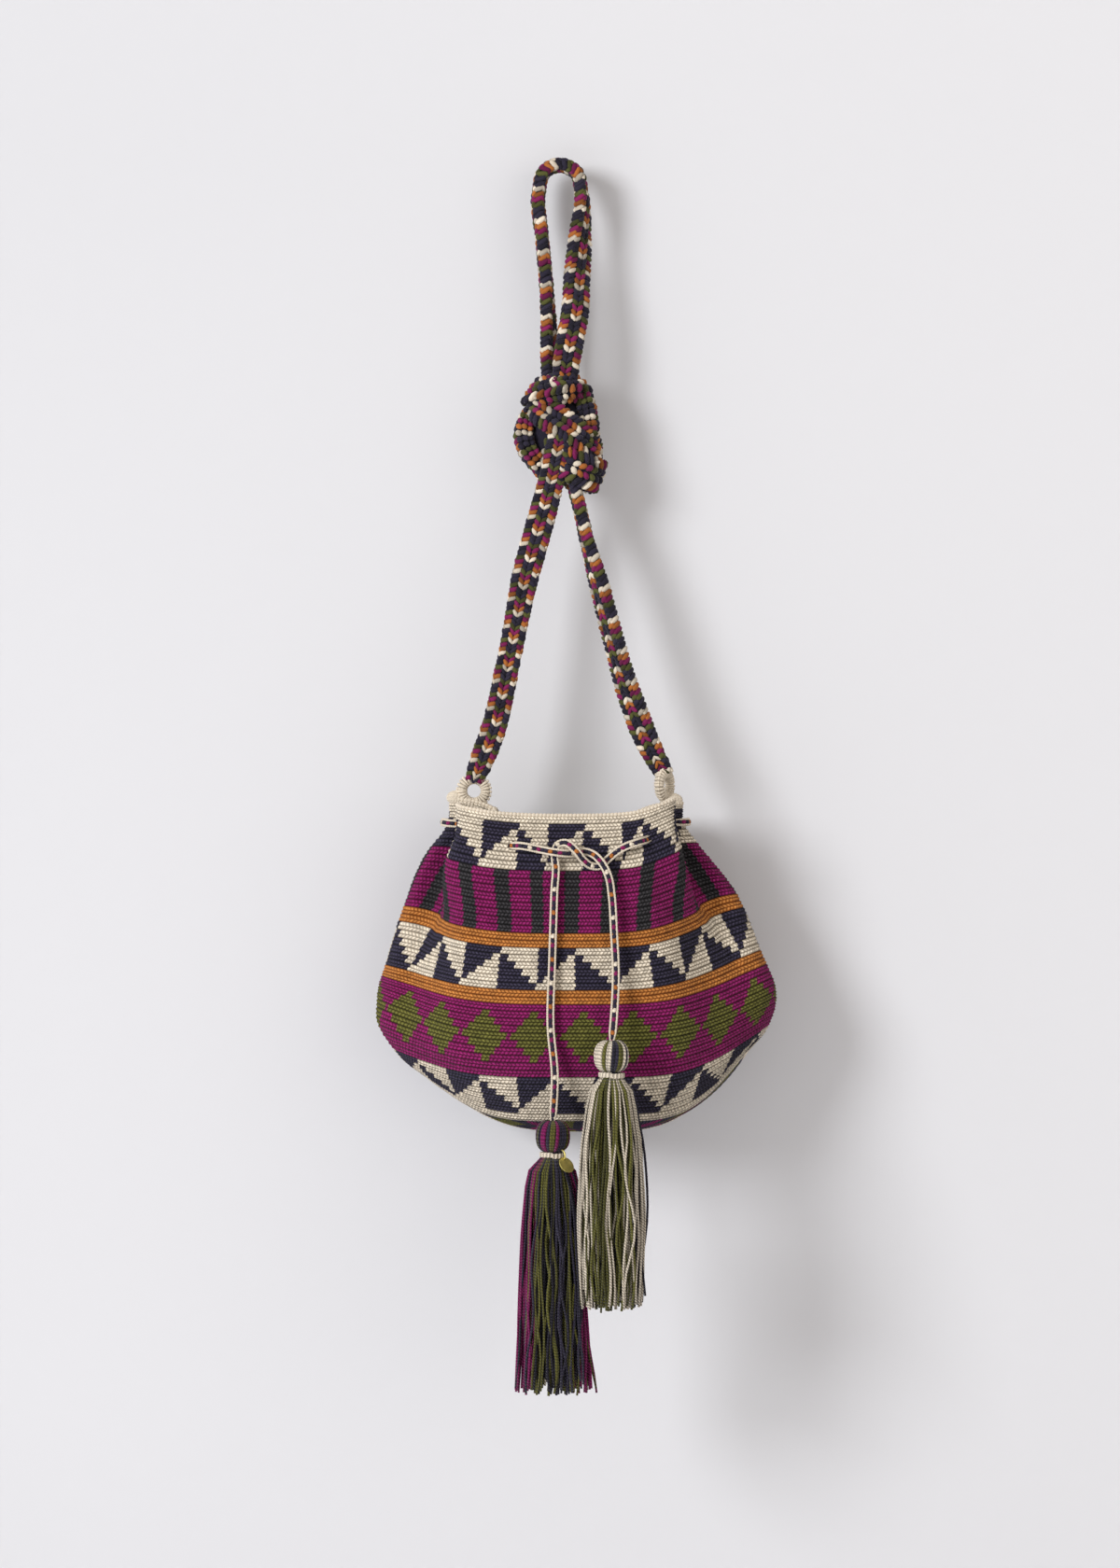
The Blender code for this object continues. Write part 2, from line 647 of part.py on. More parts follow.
def make_drawstring():
    path = drawstring_path()
    cord_tube("drawstring", path, [1.0] * len(path), False, depth=CORD_DIAMETER / 2, colours=("magenta",))


def cord_clearance():
    """The drawstring's way through the wall: its stretch between the front eyelets, fattened by the clearance."""
    path = drawstring_path()
    first, last = (
        np.linalg.norm(path - neck_point(*place), axis=1).argmin() for place in (NECK_ROUTE[0], NECK_ROUTE[-1])
    )
    neck = path[first - 1:last + 2]
    return cord_tube("cord_clearance", neck, [1.0] * len(neck), True, depth=CORD_DIAMETER / 2 + CLEARANCE)


# Tassels


def turned(name, profile, steps, colours=(), helper=False):
    """A solid turned about Z from (radius, height) points listed from the top down."""
    mesh = bpy.data.meshes.new(name)
    edges = [(k, k + 1) for k in range(len(profile) - 1)]
    mesh.from_pydata([(radius, 0, height) for radius, height in profile], edges, [])
    made = add_object(name, mesh, colours, helper)
    screw = made.modifiers.new("Turn", "SCREW")
    screw.steps = screw.render_steps = steps
    screw.use_merge_vertices = True
    screw.merge_threshold = 1e-5
    return baked(made)


def tassel_profile(side):
    """Half section of head, bound neck and skirt, down from the pivot in the head's top."""
    top = SOCKET_DEPTH
    waist = top - HEAD_HEIGHT
    end = top - TASSEL_LENGTH[side]
    head = [
        (HEAD_RADIUS * math.sin(angle), top - HEAD_HEIGHT / 2 * (1 - math.cos(angle)))
        for angle in np.radians((0, 24, 48, 72, 96, 122))
    ]
    below = waist - BINDING_HEIGHT - 2 * CLEARANCE
    wide = SKIRT_RADIUS[side]
    skirt = [(NECK_RADIUS, waist), (NECK_RADIUS, below), (0.45 * wide + 0.001, below - 0.0015)]
    skirt += [(wide * share, below + (end - below) * down) for share, down in (
        (0.66, 0.05), (0.80, 0.14), (0.86, 0.30), (0.93, 0.6), (1.0, 0.9), (0.96, 1.0))]
    return head + skirt + [(0, end)]


def yarn_flutes(mesh, below, count=9, depth=0.05):
    """Folds the skirt into soft vertical locks."""
    for vertex in mesh.vertices:
        if vertex.co.z < below:
            angle = math.atan2(vertex.co.y, vertex.co.x)
            factor = 1 + depth * math.cos(count * angle)
            vertex.co.x *= factor
            vertex.co.y *= factor


def paint_tassel(mesh, order):
    """Vertical fields of yarn colour."""
    for face in mesh.polygons:
        angle = math.atan2(face.center.y, face.center.x) / math.tau % 1
        face.material_index = order[int(angle * len(order))]


def binding_radius():
    """Centre radius of the binding's band, seated round the tassel's neck."""
    return NECK_RADIUS + CLEARANCE + BINDING_WIDTH / 2


def binding_height():
    return SOCKET_DEPTH - HEAD_HEIGHT - CLEARANCE - BINDING_HEIGHT / 2


def socket_cutter(name):
    """A ball round the pivot with a flared mouth, so that the tassel can swing on the tail's end."""
    ball = CORD_DIAMETER / 2 + 2 * CLEARANCE
    rise = 2 * SOCKET_DEPTH
    sides = [(ball * math.cos(angle), -ball * math.sin(angle)) for angle in np.radians((0, 30, 60, 90))]
    mouth = (ball + rise * math.tan(SOCKET_FLARE), rise)
    return turned(name, [(0, rise), mouth, *sides], 24, helper=True)


def make_tassel(side, place, colours, order):
    """A bundle and its binding, with the origin of both on the swing's axis at the tail's end."""
    bundle = turned(f"tassel_{side}_bundle", tassel_profile(side), TASSEL_STEPS, colours)
    yarn_flutes(bundle.data, binding_height() - BINDING_HEIGHT)
    paint_tassel(bundle.data, order)
    flat = Matrix.Diagonal((1, TASSEL_FLATNESS, 1, 1))
    bundle.data.transform(flat)
    bundle.data.shade_smooth()
    socket = socket_cutter(f"socket_{side}")
    boolean(bundle, socket)
    middle, half = binding_radius(), BINDING_WIDTH / 2
    high = BINDING_HEIGHT / 2
    band = [(middle - half, -high), (middle - half, high), (middle, high), (middle + half, high * 0.5),
            (middle + half, -high * 0.5), (middle, -high), (middle - half, -high)]
    binding = turned(f"tassel_{side}_binding", band, 20, ("cream",))
    binding.data.transform(flat @ Matrix.Translation((0, 0, binding_height())))
    for made in (bundle, binding, socket):
        made.location = mm(*place)
    return bundle


# Charm


def charm_frame():
    """The charm ring's centre on the left binding, its axis along the binding, and the way out."""
    across = binding_radius() * math.sin(CHARM_ANGLE)
    out = -binding_radius() * math.cos(CHARM_ANGLE) * TASSEL_FLATNESS
    tangent = Vector((-out / TASSEL_FLATNESS, across * TASSEL_FLATNESS, 0)).normalized()
    centre = Vector(mm(*LEFT_TAIL_END)) + Vector((across, out, binding_height()))
    outward = Vector((tangent.y, -tangent.x, 0))
    return Matrix((tangent, -outward, (0, 0, 1))).transposed().to_4x4(), centre


def disc_place():
    """The disc's hole and middle, in the charm's frame: it hangs outward from the ring's lowest part."""
    down = Vector((0, -math.sin(CHARM_LEAN), -math.cos(CHARM_LEAN)))
    hole = down * CHARM_RING_RADIUS
    return hole, hole + down * (CHARM_DIAMETER / 2 - CHARM_EDGE)


def cylinder(name, radius, depth, matrix, colours=(), helper=False, segments=24):
    made = bmesh.new()
    bmesh.ops.create_cone(
        made, cap_ends=True, segments=segments, radius1=radius, radius2=radius, depth=depth, matrix=matrix,
    )
    mesh = bpy.data.meshes.new(name)
    made.to_mesh(mesh)
    made.free()
    return add_object(name, mesh, colours, helper)


def make_charm(bundle):
    """Wire ring and brass disc on the left binding, and the hollow in the yarn that they lie in."""
    turn, centre = charm_frame()
    place = Matrix.Translation(centre) @ turn
    across = Matrix.Rotation(math.pi / 2, 4, "Y")
    mesh = torus_mesh("charm_ring", CHARM_RING_RADIUS, CHARM_WIRE / 2, across, 16, 6)
    ring = add_object("charm_ring", mesh, ("brass",))
    ring.matrix_world = place
    hole, middle = disc_place()
    face = Matrix.Rotation(math.pi / 2 - CHARM_LEAN, 4, "X")
    lean = Matrix.Translation(middle) @ face
    disc = cylinder("charm_disc", CHARM_DIAMETER / 2, CHARM_THICKNESS, lean, ("brass",))
    disc.matrix_world = place
    bore = cylinder("charm_bore", CHARM_HOLE / 2, 0.004, Matrix.Translation(hole) @ face, (), True, 16)
    bore.matrix_world = place
    boolean(disc, bore)
    gap = 2 * CLEARANCE
    slot_radius = CHARM_RING_RADIUS + CHARM_WIRE / 2 + gap
    slot = cylinder("charm_slot", slot_radius, CHARM_WIRE + 2 * gap, across, (), True)
    away = face @ Vector((0, 0, -1))
    bed_place = Matrix.Translation(middle + away * (CHARM_BED / 2 - CHARM_THICKNESS / 2 - gap)) @ face
    bed = cylinder("charm_bed", CHARM_DIAMETER / 2 + gap, CHARM_BED, bed_place, (), True)
    for cutter in (slot, bed):
        cutter.matrix_world = place
        boolean(bundle, cutter)


def clear_scene():
    for obj in list(bpy.data.objects):
        bpy.data.objects.remove(obj)


def main():
    clear_scene()
    collection("wayuu_mochila")
    collection("cutters", helper=True)
    make_body()
    make_strap()
    make_rings()
    make_drawstring()
    left = make_tassel("left", LEFT_TAIL_END, ("olive", "navy", "magenta"), (1, 0, 0, 1, 2, 2, 1, 0, 0, 0, 1, 2))
    make_tassel("right", RIGHT_TAIL_END, ("olive", "cream", "navy"), (1, 2, 0, 1, 0, 1, 1, 0, 0, 1, 0, 2))
    make_charm(left)


main()
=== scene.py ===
"""The looks of a wayuu mochila: crocheted bag, braided strap, drawstring and yarn tassels, in metres, +Z up."""

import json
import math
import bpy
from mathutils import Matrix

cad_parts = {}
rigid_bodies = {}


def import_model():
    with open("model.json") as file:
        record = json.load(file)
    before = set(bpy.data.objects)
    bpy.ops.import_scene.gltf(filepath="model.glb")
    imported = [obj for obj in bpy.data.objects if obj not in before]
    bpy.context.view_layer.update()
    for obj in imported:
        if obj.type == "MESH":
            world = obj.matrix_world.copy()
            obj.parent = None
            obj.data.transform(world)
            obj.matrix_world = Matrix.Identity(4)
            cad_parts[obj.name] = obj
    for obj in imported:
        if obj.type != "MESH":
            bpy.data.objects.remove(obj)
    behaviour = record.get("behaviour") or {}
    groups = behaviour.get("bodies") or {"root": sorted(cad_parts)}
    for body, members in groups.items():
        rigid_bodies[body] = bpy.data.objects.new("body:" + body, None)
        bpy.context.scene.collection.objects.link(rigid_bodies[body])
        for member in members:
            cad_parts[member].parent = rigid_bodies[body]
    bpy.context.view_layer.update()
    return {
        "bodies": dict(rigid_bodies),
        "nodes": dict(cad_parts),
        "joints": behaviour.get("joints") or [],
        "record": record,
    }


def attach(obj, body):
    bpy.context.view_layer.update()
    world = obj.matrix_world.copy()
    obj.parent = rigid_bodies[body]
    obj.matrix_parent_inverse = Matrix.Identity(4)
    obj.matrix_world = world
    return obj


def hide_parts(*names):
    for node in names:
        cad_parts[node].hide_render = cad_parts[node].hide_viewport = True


bl_info = {
    "name": "Wayuu Mochila",
    "version": (1, 0, 0),
    "blender": (4, 5, 0),
    "location": "View3D > Sidebar > Mochila",
    "description": "Builds a crocheted bucket bag with a knotted braided strap, a drawstring and tassels",
    "category": "Object",
}

from functools import partial

import bmesh
import bpy
import numpy as np
from bpy.props import FloatProperty, FloatVectorProperty, IntProperty, PointerProperty
from mathutils import Matrix, Vector

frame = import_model()

STITCHES = 240
ROWS = 42
BASE_ROUNDS = 16
BACK = np.array([0.0, 1.0, 0.0])
# How near two points are merged, in metres
MERGE = 1e-6

# The crocheted wall, as in the part: row, x left, x right, z front, left, right, back, half depth, gather
BODY_ROWS = (
    (0, -65.5, 72.6, -379.7, -370.0, -372.5, -381.0, 36.0, 1.00),
    (5, -68.5, 75.0, -401.3, -388.0, -387.0, -399.0, 40.0, 0.95),
    (7, -76.0, 81.0, -411.0, -397.0, -395.0, -409.0, 43.0, 0.82),
    (15, -92.5, 104.5, -447.0, -432.6, -425.4, -446.0, 50.0, 0.32),
    (23, -103.5, 119.0, -479.6, -467.6, -459.0, -482.0, 54.0, 0.05),
    (29, -108.5, 128.0, -504.3, -488.0, -483.0, -510.0, 55.0, 0.0),
    (32, -108.0, 127.5, -517.3, -503.0, -493.5, -524.5, 52.5, 0.0),
    (35, -98.5, 123.5, -530.2, -518.0, -504.0, -539.0, 49.0, 0.0),
    (42, -78.0, 112.0, -555.6, -535.0, -517.0, -569.5, 39.0, 0.0),
)
NECK_QUARTER = (
    (0.0, -1.0), (0.36, -1.0), (0.72, -0.97), (0.90, -0.84), (0.92, -0.60),
    (0.76, -0.43), (0.61, -0.29), (0.76, -0.20), (0.94, -0.15), (1.0, 0.0),
)
# The half sizes, in millimetres, at which the points of the neck's and the belly's sections are evenly spaced
NECK_HALVES = (70, 40)
BELLY_HALVES = (118, 55)
BELLY_POWERS = (2.0, 2.8)
BELLY_MIDDLE = 0.22
CREASE_DEPTH = 16.0
CREASE_PLACES = (0.72, 0.60)
CREASE_WIDTH = 0.24
FOLD_DIP = 6.5
FOLD_PLACE = 0.9
FOLD_SPREAD = 0.055
CORNER_RISE = (1.5, 6.5)
CORNER_PLACE = 47.0
CORNER_SPREAD = 13.0
BASE_SAG = 0.002
BASE_POWER = 2.0
BASE_BULGE = 1.2
EYELET_ROW = 4.2
EYELET_STITCHES = (-12.5, -41, -76, -104, 104, 76, 41, 23)
EYELET_RADIUS = 0.0027
LINING_EYELET_RADIUS = 0.0034
# How much nearer to the outer face than the wall's thickness the lining lies
LINING_EASE = 0.0003

# Bands of the wall: first row, end row and what is worked there
BANDS = (
    (0, 1, "cream"), (1, 7, "steps"), (7, 15, "stripes"), (15, 17, "mustard"), (17, 23, "steps"),
    (23, 25, "mustard"), (25, 35, "diamonds"), (35, 41, "steps"), (41, 42, "cream"),
)
# The relief of a row from its upper edge down: the gap between rows, a ridge, a crease and a second ridge
ROW_PROFILE = (-1.05, 0.65, -0.6, 0.65)
# How far a stitch leans over its row, in stitches
STITCH_LEAN = 0.7
# Where a cream step's upright side stands at the front, in stitches from x = 0, by the band's first row
STEP_SIDES = {1: (-3.3, 6.0), 17: (-5.8, 3.8), 35: (-11.4, -1.7)}
# Above this row the neck's folds take stitches in
GATHERED_ROWS = 16
# These folds: how many stitches each takes in the steps and in the stripes, and the stitches between which it does,
# counted from the front's middle. Round the back, the left's are eased out together, and the right's each between
# its own last two stitches.
LEFT_FOLDS = ((2.7, 1.5, -2, -12), (10.8, 15.5, -38, -49))
LEFT_EASING = (-62, -175)
RIGHT_FOLDS = ((-4.5, 0, 15, 23, 36, 48), (0, 2, 24, 32, 62, 122))
STRIPE_CENTRE = 3.2
STRIPE_PERIOD = 10
STRIPE_DARK = 4
DIAMOND_CENTRE = 5.6
DIAMOND_PERIOD = 12
DIAMOND_WIDTHS = (2, 5, 8, 11, 8, 5, 2)
DIAMOND_FIRST = 26
STAR_POINTS = 12

# The strap's routes, as in the part but for the left strand's start, which is laid over the knot:
# x, y, z in millimetres, turn of the wide face in degrees, share of the width
LOOP_ROUTE = (
    (-4.4, 7.0, -125.0, 55, 0.9), (-5.4, 7.5, -110.0, 62, 1.0), (-7.0, 3.5, -84.0, 80, 1.0),
    (-8.2, 1.0, -64.0, 88, 1.0), (-10.6, 0.0, -39.0, 90, 1.0), (-12.4, 0.0, -11.8, 90, 1.0),
    (-9.0, 0.0, 0.2, 90, 1.0), (0.0, 0.0, 3.75, 90, 1.0), (9.0, 0.0, 0.0, 90, 1.0),
    (12.7, 0.0, -14.0, 98, 1.0), (11.8, -1.0, -39.0, 128, 1.0), (10.0, -2.5, -64.0, 148, 1.0),
    (8.8, -4.0, -84.0, 162, 1.0), (4.6, -6.5, -108.0, 176, 1.0), (2.6, -6.0, -124.0, 180, 0.9),
)
LEFT_ROUTE = (
    (3.5, -11.0, -149.0, 0, 0.85), (0.0, -14.0, -159.0, 0, 0.9), (-2.0, -14.0, -168.0, 0, 0.9),
    (-4.0, -11.0, -178.0, 0, 0.9), (-7.0, -6.0, -190.0, 0, 0.95), (-13.2, -3.0, -212.6, 0, 1.0),
    (-20.7, -3.0, -240.0, 0, 0.96), (-26.0, -3.0, -267.6, 0, 0.84), (-31.8, -3.0, -296.0, 5, 0.84),
    (-39.0, -3.5, -328.0, 8, 0.88), (-45.6, -4.0, -346.0, 5, 0.85), (-50.4, -4.0, -358.5, 0, 0.62),
)
RIGHT_ROUTE = (
    (4.0, -3.0, -170.0, -80, 0.9), (9.6, -3.0, -190.6, -86, 0.9), (16.0, -3.0, -218.0, -84, 0.95),
    (22.0, -3.0, -240.0, -66, 0.95), (27.8, -3.0, -262.0, -58, 0.92), (33.6, -3.0, -284.0, -52, 0.9),
    (40.0, -3.0, -306.0, -42, 0.92), (45.8, -3.0, -322.0, -30, 0.92), (52.8, -3.0, -339.0, -12, 0.85),
    (61.2, -3.0, -354.5, 0, 0.62),
)
# The knot's folds: the width and thickness of a fold in metres, and its route over the knot in millimetres
KNOT_FOLDS = (
    (0.0140, 0.0105, ((-5.0, 4.0, -137.0), (-12.0, 3.0, -140.5), (-18.5, 0.0, -146.0), (-21.5, -3.0, -155.0),
                      (-19.0, -4.0, -165.0), (-12.0, -2.0, -173.0), (-7.0, 3.0, -181.0))),
    (0.0120, 0.0105, ((9.0, 1.0, -127.0), (14.0, -2.0, -134.0), (16.5, -3.5, -144.0), (17.5, -3.5, -154.0),
                      (17.0, -3.0, -164.0), (13.0, -2.0, -173.0))),
    (0.0190, 0.0115, ((-13.0, -3.0, -138.0), (-9.0, -8.5, -142.5), (-2.0, -11.5, -148.0), (6.0, -11.5, -154.5),
                      (13.0, -9.0, -160.5), (18.5, -3.0, -166.0), (19.0, 3.0, -170.0))),
    (0.0205, 0.0110, ((-6.0, -6.0, -166.0), (2.0, -10.5, -171.0), (10.0, -11.5, -175.5), (17.0, -8.0, -178.0),
                      (20.5, -1.0, -179.0), (17.0, 6.0, -178.5), (8.0, 8.5, -176.5), (-2.0, 7.0, -172.0))),
    (0.0235, 0.0100, ((17.0, 2.0, -147.0), (10.0, 6.0, -150.0), (0.0, 7.2, -155.0), (-10.0, 6.0, -160.0),
                      (-17.0, 2.0, -164.0))),
)
KNOT_MIDDLE = (0.0, -1.0, -158.0)
KNOT_HEART = (0.0165, 0.0090, 0.0270)
# The knot's collar: its centre, and the width and thickness of its fold
KNOT_COLLAR = (-2.4, 0.0, -129.5)
COLLAR_BAND = (0.0195, 0.0125)
# The strap's runs: route, share of the braid's pitch, order of its yarns, and the height of one of its cream stitches
STRAP_RUNS = {
    "strap_loop": (LOOP_ROUTE[::-1], 1.0, 1, -0.058),
    "strap_left": (LEFT_ROUTE, 0.88, -1, -0.213),
    "strap_right": (RIGHT_ROUTE, 1.03, 1, -0.239),
}
# Where grains lie over the edge of a run and of a fold, as shares of its half thickness
RUN_EDGE = (0.0,)
FOLD_EDGE = (-0.6, 0.0, 0.6)

# Strap rings, as in the part: centre, turn about Z in degrees, and the sewn mound's centre and half sizes
RINGS = {
    "left": ((-50.6, -4.0, -365.0), 0, (-60.5, -2.0, -369.0), (6.5, 4.5, 4.2)),
    "right": ((61.5, -3.0, -361.5), 62, (65.5, -1.0, -370.5), (7.0, 5.0, 4.2)),
}
RING_RADIUS = 0.007

# The drawstring's route, as in the part: stitch, side of the wall and row round the neck, then both tails in
# millimetres from their eyelets to the tassels' heads
NECK_ROUTE = (
    (-12.5, 0, 4.2), (-16, -1, 4.2), (-41, -1, 4.2), (-41, 0, 4.2), (-42.5, 1, 4.2), (-49, 1, 4.1),
    (-56, 1.5, 3.9), (-60, 2, 3.8), (-64, 1.5, 3.9), (-69, 1, 4.1), (-74.5, 1, 4.2), (-76, 0, 4.2),
    (-76, -1, 4.2), (-101, -1, 4.2), (-104, 0, 4.2), (-107, 1, 4.2), (-114, 1, 4.2), (120, 1, 4.2),
    (114, 1, 4.2), (107, 1, 4.2), (104, 0, 4.2), (101, -1, 4.2), (76, -1, 4.2), (76, 0, 4.2), (74.5, 1, 4.2),
    (69, 1, 4.1), (64, 1.5, 3.9), (60, 2, 3.8), (56, 1.5, 3.9), (49, 1, 4.1), (42.5, 1, 4.2), (41, 0, 4.2),
    (41, -1, 4.2),
    (27, -1, 4.2), (23, 0, 4.2),
)
RIGHT_TAIL = (
    (-22.0, -44.2, -396.8), (-12.5, -45.6, -398.6), (-3.6, -50.4, -400.2), (3.0, -49.4, -401.0),
    (8.4, -46.2, -401.0), (14.0, -45.4, -400.0), (18.8, -47.0, -401.4), (22.6, -50.0, -404.6),
    (26.0, -51.6, -409.6), (28.4, -51.2, -416.0), (29.6, -51.8, -424.0), (31.0, -55.4, -446.0),
    (32.0, -60.2, -472.0), (31.0, -65.0, -492.0), (29.4, -72.0, -509.4),
)
LEFT_TAIL = (
    (45.0, -44.8, -394.6), (39.0, -45.6, -396.6), (33.6, -45.4, -399.4), (27.6, -45.4, -404.4),
    (23.0, -46.0, -408.4), (17.6, -47.0, -408.0), (13.6, -49.2, -405.0), (8.8, -51.0, -399.0),
    (3.4, -48.8, -395.0), (-1.6, -45.6, -396.6), (-3.0, -45.4, -402.0), (-2.4, -46.4, -409.0),
    (-3.2, -49.4, -422.0), (-3.8, -52.8, -440.0), (-4.6, -56.6, -466.0), (-5.4, -59.0, -500.0),
    (-3.0, -59.2, -528.0), (-4.3, -58.0, -556.3),
)
CORD_RADIUS = 0.002
CORD_CLEARANCE = 0.0003

# Tassels and charm, as in the part
HEAD_RADIUS = 0.0102
HEAD_HEIGHT = 0.0185
NECK_RADIUS = 0.0056
BINDING_HEIGHT = 0.0034
BINDING_WIDTH = 0.0018
TASSEL_LENGTH = {"left": 0.159, "right": 0.156}
SKIRT_RADIUS = {"left": 0.0185, "right": 0.0172}
TASSEL_FLATNESS = 0.86
SOCKET_DEPTH = 0.003
BINDING_RADIUS = NECK_RADIUS + CORD_CLEARANCE + BINDING_WIDTH / 2
BINDING_LEVEL = SOCKET_DEPTH - HEAD_HEIGHT - CORD_CLEARANCE - BINDING_HEIGHT / 2
CHARM_ANGLE = math.radians(48)
CHARM_RING_RADIUS = 0.0031
CHARM_LEAN = math.radians(34)
CHARM_RADIUS = 0.0049
CHARM_EDGE = 0.0014

# The plies of each yarn: turns across and along its UVs, depth of the ridges and of the painted shade in their
# grooves, height of the relief, and fading
PLIES = {
    "Crocheted cotton": (3.0, 5.0, 0.25, 0.0007, 0.35),
    "Edge yarn": (0.0, 2.5, 0.5, 0.0003, 0.25),
    "Braid yarn": (0.0, 2.2, 0.6, 0.0004, 0.25),
    "Cord yarn": (0.0, 2.0, 0.5, 0.0002, 0.25),
    "Tassel yarn": (1.0, 1.0, 1.1, 0.0008, 0.25),
}
# The order of the yarns along the braid, one stitch after another
BRAID = ("cream", "orange", "wine", "green", "night", "night")


# Sizes and colours


def colour_property(name, description, value):
    return FloatVectorProperty(
        name=name, description=description, subtype="COLOR", size=3, min=0.0, max=1.0, default=value
    )


class MochilaYarns(bpy.types.PropertyGroup):
    cream: colour_property("Cream", "Undyed cotton of the rim, the steps and the rings", (0.705, 0.622, 0.50))
    navy: colour_property("Navy", "Ground of the stepped bands", (0.0334, 0.0288, 0.0525))
    magenta: colour_property("Magenta", "Ground of the striped and diamond bands", (0.2268, 0.0114, 0.1054))
    dark: colour_property("Dark green", "Stripes and diamonds", (0.0336, 0.0315, 0.0343))
    mustard: colour_property("Mustard", "Two plain bands", (0.465, 0.1785, 0.0405))
    olive: colour_property("Olive", "Tassels and base", (0.126, 0.1209, 0.0255))
    orange: colour_property("Copper", "One yarn of the braid", (0.38, 0.125, 0.026))
    wine: colour_property("Wine", "One yarn of the braid", (0.20, 0.012, 0.085))
    night: colour_property("Night blue", "The darkest yarn of the braid", (0.024, 0.020, 0.038))
    green: colour_property("Moss", "One yarn of the braid", (0.082, 0.085, 0.022))
    brass: colour_property("Brass", "The charm", (0.78, 0.66, 0.20))


def length_property(name, description, value):
    return FloatProperty(name=name, description=description, default=value, unit="LENGTH")


class MochilaSizes(bpy.types.PropertyGroup):
    row_relief: length_property("Row relief", "How far a ridge of stitches stands out", 0.00055)
    wall: length_property("Wall", "Thickness of the crochet", 0.0026)
    strap_width: length_property("Strap width", "Width of the braid", 0.0155)
    strap_thickness: length_property("Strap thickness", "Thickness of the braid", 0.0075)
    braid_pitch: length_property("Braid pitch", "Length of one stitch along the strap", 0.0031)
    yarn_radius: length_property("Tassel yarn", "Radius of one tassel yarn", 0.00072)
    tassel_yarns: IntProperty(name="Yarns", description="Yarns round each tassel", default=74)


def yarn(name, shade=1.0):
    """The colour of a yarn, linear, made lighter or darker by the shade, with its alpha."""
    return (*(value * shade for value in getattr(bpy.context.scene.mochila_yarns, name)), 1.0)


def sizes():
    return bpy.context.scene.mochila_sizes


# Curves and the shape of the wall, as in the part


def smooth(at, places, values):
    """The values at `at` on a smooth curve through (places, values)."""
    places = np.asarray(places, float)
    values = np.asarray(values, float)
    slopes = np.gradient(values, places)
    k = np.clip(np.searchsorted(places, at, side="right") - 1, 0, len(places) - 2)
    span = places[k + 1] - places[k]
    t = (at - places[k]) / span
    start = (1 + 2 * t) * (1 - t) ** 2 * values[k] + t * (1 - t) ** 2 * span * slopes[k]
    return start + t * t * (3 - 2 * t) * values[k + 1] + t * t * (t - 1) * span * slopes[k + 1]


def ramp(at):
    """A smooth rise from 0 to 1."""
    at = np.clip(at, 0, 1)
    return at * at * (3 - 2 * at)


def rise(at, start, end):
    """A smooth rise from 0 at one place to 1 at another."""
    return ramp((at - start) / (end - start))


def unit(vector):
    return vector / np.linalg.norm(vector)


def heading(path, k):
    """The direction of a path at its point k."""
    return unit(path[min(k + 1, len(path) - 1), :3] - path[max(k - 1, 0), :3])


def columns_at(at, places, table, curve=np.interp):
    """Each column of a table read at these places, on straight or smooth runs between its rows."""
    return np.stack([curve(at, places, column) for column in table.T], axis=1)


def lengths_along(points):
    steps = np.linalg.norm(np.diff(points, axis=0), axis=1)
    return np.concatenate([[0.0], np.cumsum(steps)])


def smooth_path(route, step):
    """Points about `step` apart on a smooth curve through the route's points. Columns past the third follow."""
    route = np.asarray(route, float)
    places = lengths_along(route[:, :3])
    fine = columns_at(np.linspace(0, places[-1], 30 * len(route)), places, route, smooth)
    along = lengths_along(fine[:, :3])
    return columns_at(np.linspace(0, along[-1], max(3, round(along[-1] / step) + 1)), along, fine)


def unit_loop(points, halves):
    """A loop of half sizes 1 with a point to each stitch, even at these half sizes."""
    points = np.concatenate([points, points[:1]])
    places = lengths_along(points * halves)
    return columns_at(np.arange(STITCHES) / STITCHES * places[-1], places, points)


def neck_loop():
    """The full section of the drawn-in neck, with a fold at each end."""
    quarter = np.array(NECK_QUARTER)
    half = np.concatenate([quarter, quarter[-2::-1] * (1, -1)])
    loop = np.concatenate([half, half[-2:0:-1] * (-1, 1)])
    around = np.concatenate([loop[-3:], loop, loop[:4]])
    places = lengths_along(around * NECK_HALVES)
    fine = np.linspace(places[3], places[3 + len(loop)], 600, endpoint=False)
    return unit_loop(columns_at(fine, places, around, smooth), NECK_HALVES)


def belly_loop():
    """The full section of the belly, round in front and flatter behind."""
    angle = np.linspace(0, 2 * math.pi, 720, endpoint=False)
    front = np.cos(angle) > 0
    power = 2 / np.where(front, *BELLY_POWERS)
    reach = np.where(front, -1 - BELLY_MIDDLE, 1 - BELLY_MIDDLE)
    x = np.sign(np.sin(angle)) * np.abs(np.sin(angle)) ** power
    y = BELLY_MIDDLE + reach * np.abs(np.cos(angle)) ** power
    return unit_loop(np.stack([x, y], axis=1), BELLY_HALVES)


NECK_LOOP = neck_loop()
BELLY_LOOP = belly_loop()


def crease(share, angle):
    """How far the belly is folded back beside its front, from 0 to 1."""
    place = np.where(share > 0, CREASE_PLACES[1], CREASE_PLACES[0])
    inner = ramp((np.abs(share) - place) / CREASE_WIDTH + 0.5)
    outer = 1 - ramp((np.abs(share) - 0.82) / 0.18)
    return inner * outer * (np.cos(angle) > 0)


def corner_rise(angle):
    """The rim's height at the front's two corners."""
    turn = np.degrees(np.arctan2(np.sin(angle), np.cos(angle)))
    height = np.where(turn > 0, CORNER_RISE[1], CORNER_RISE[0])
    return height * np.exp(-(((np.abs(turn) - CORNER_PLACE) / CORNER_SPREAD) ** 2))


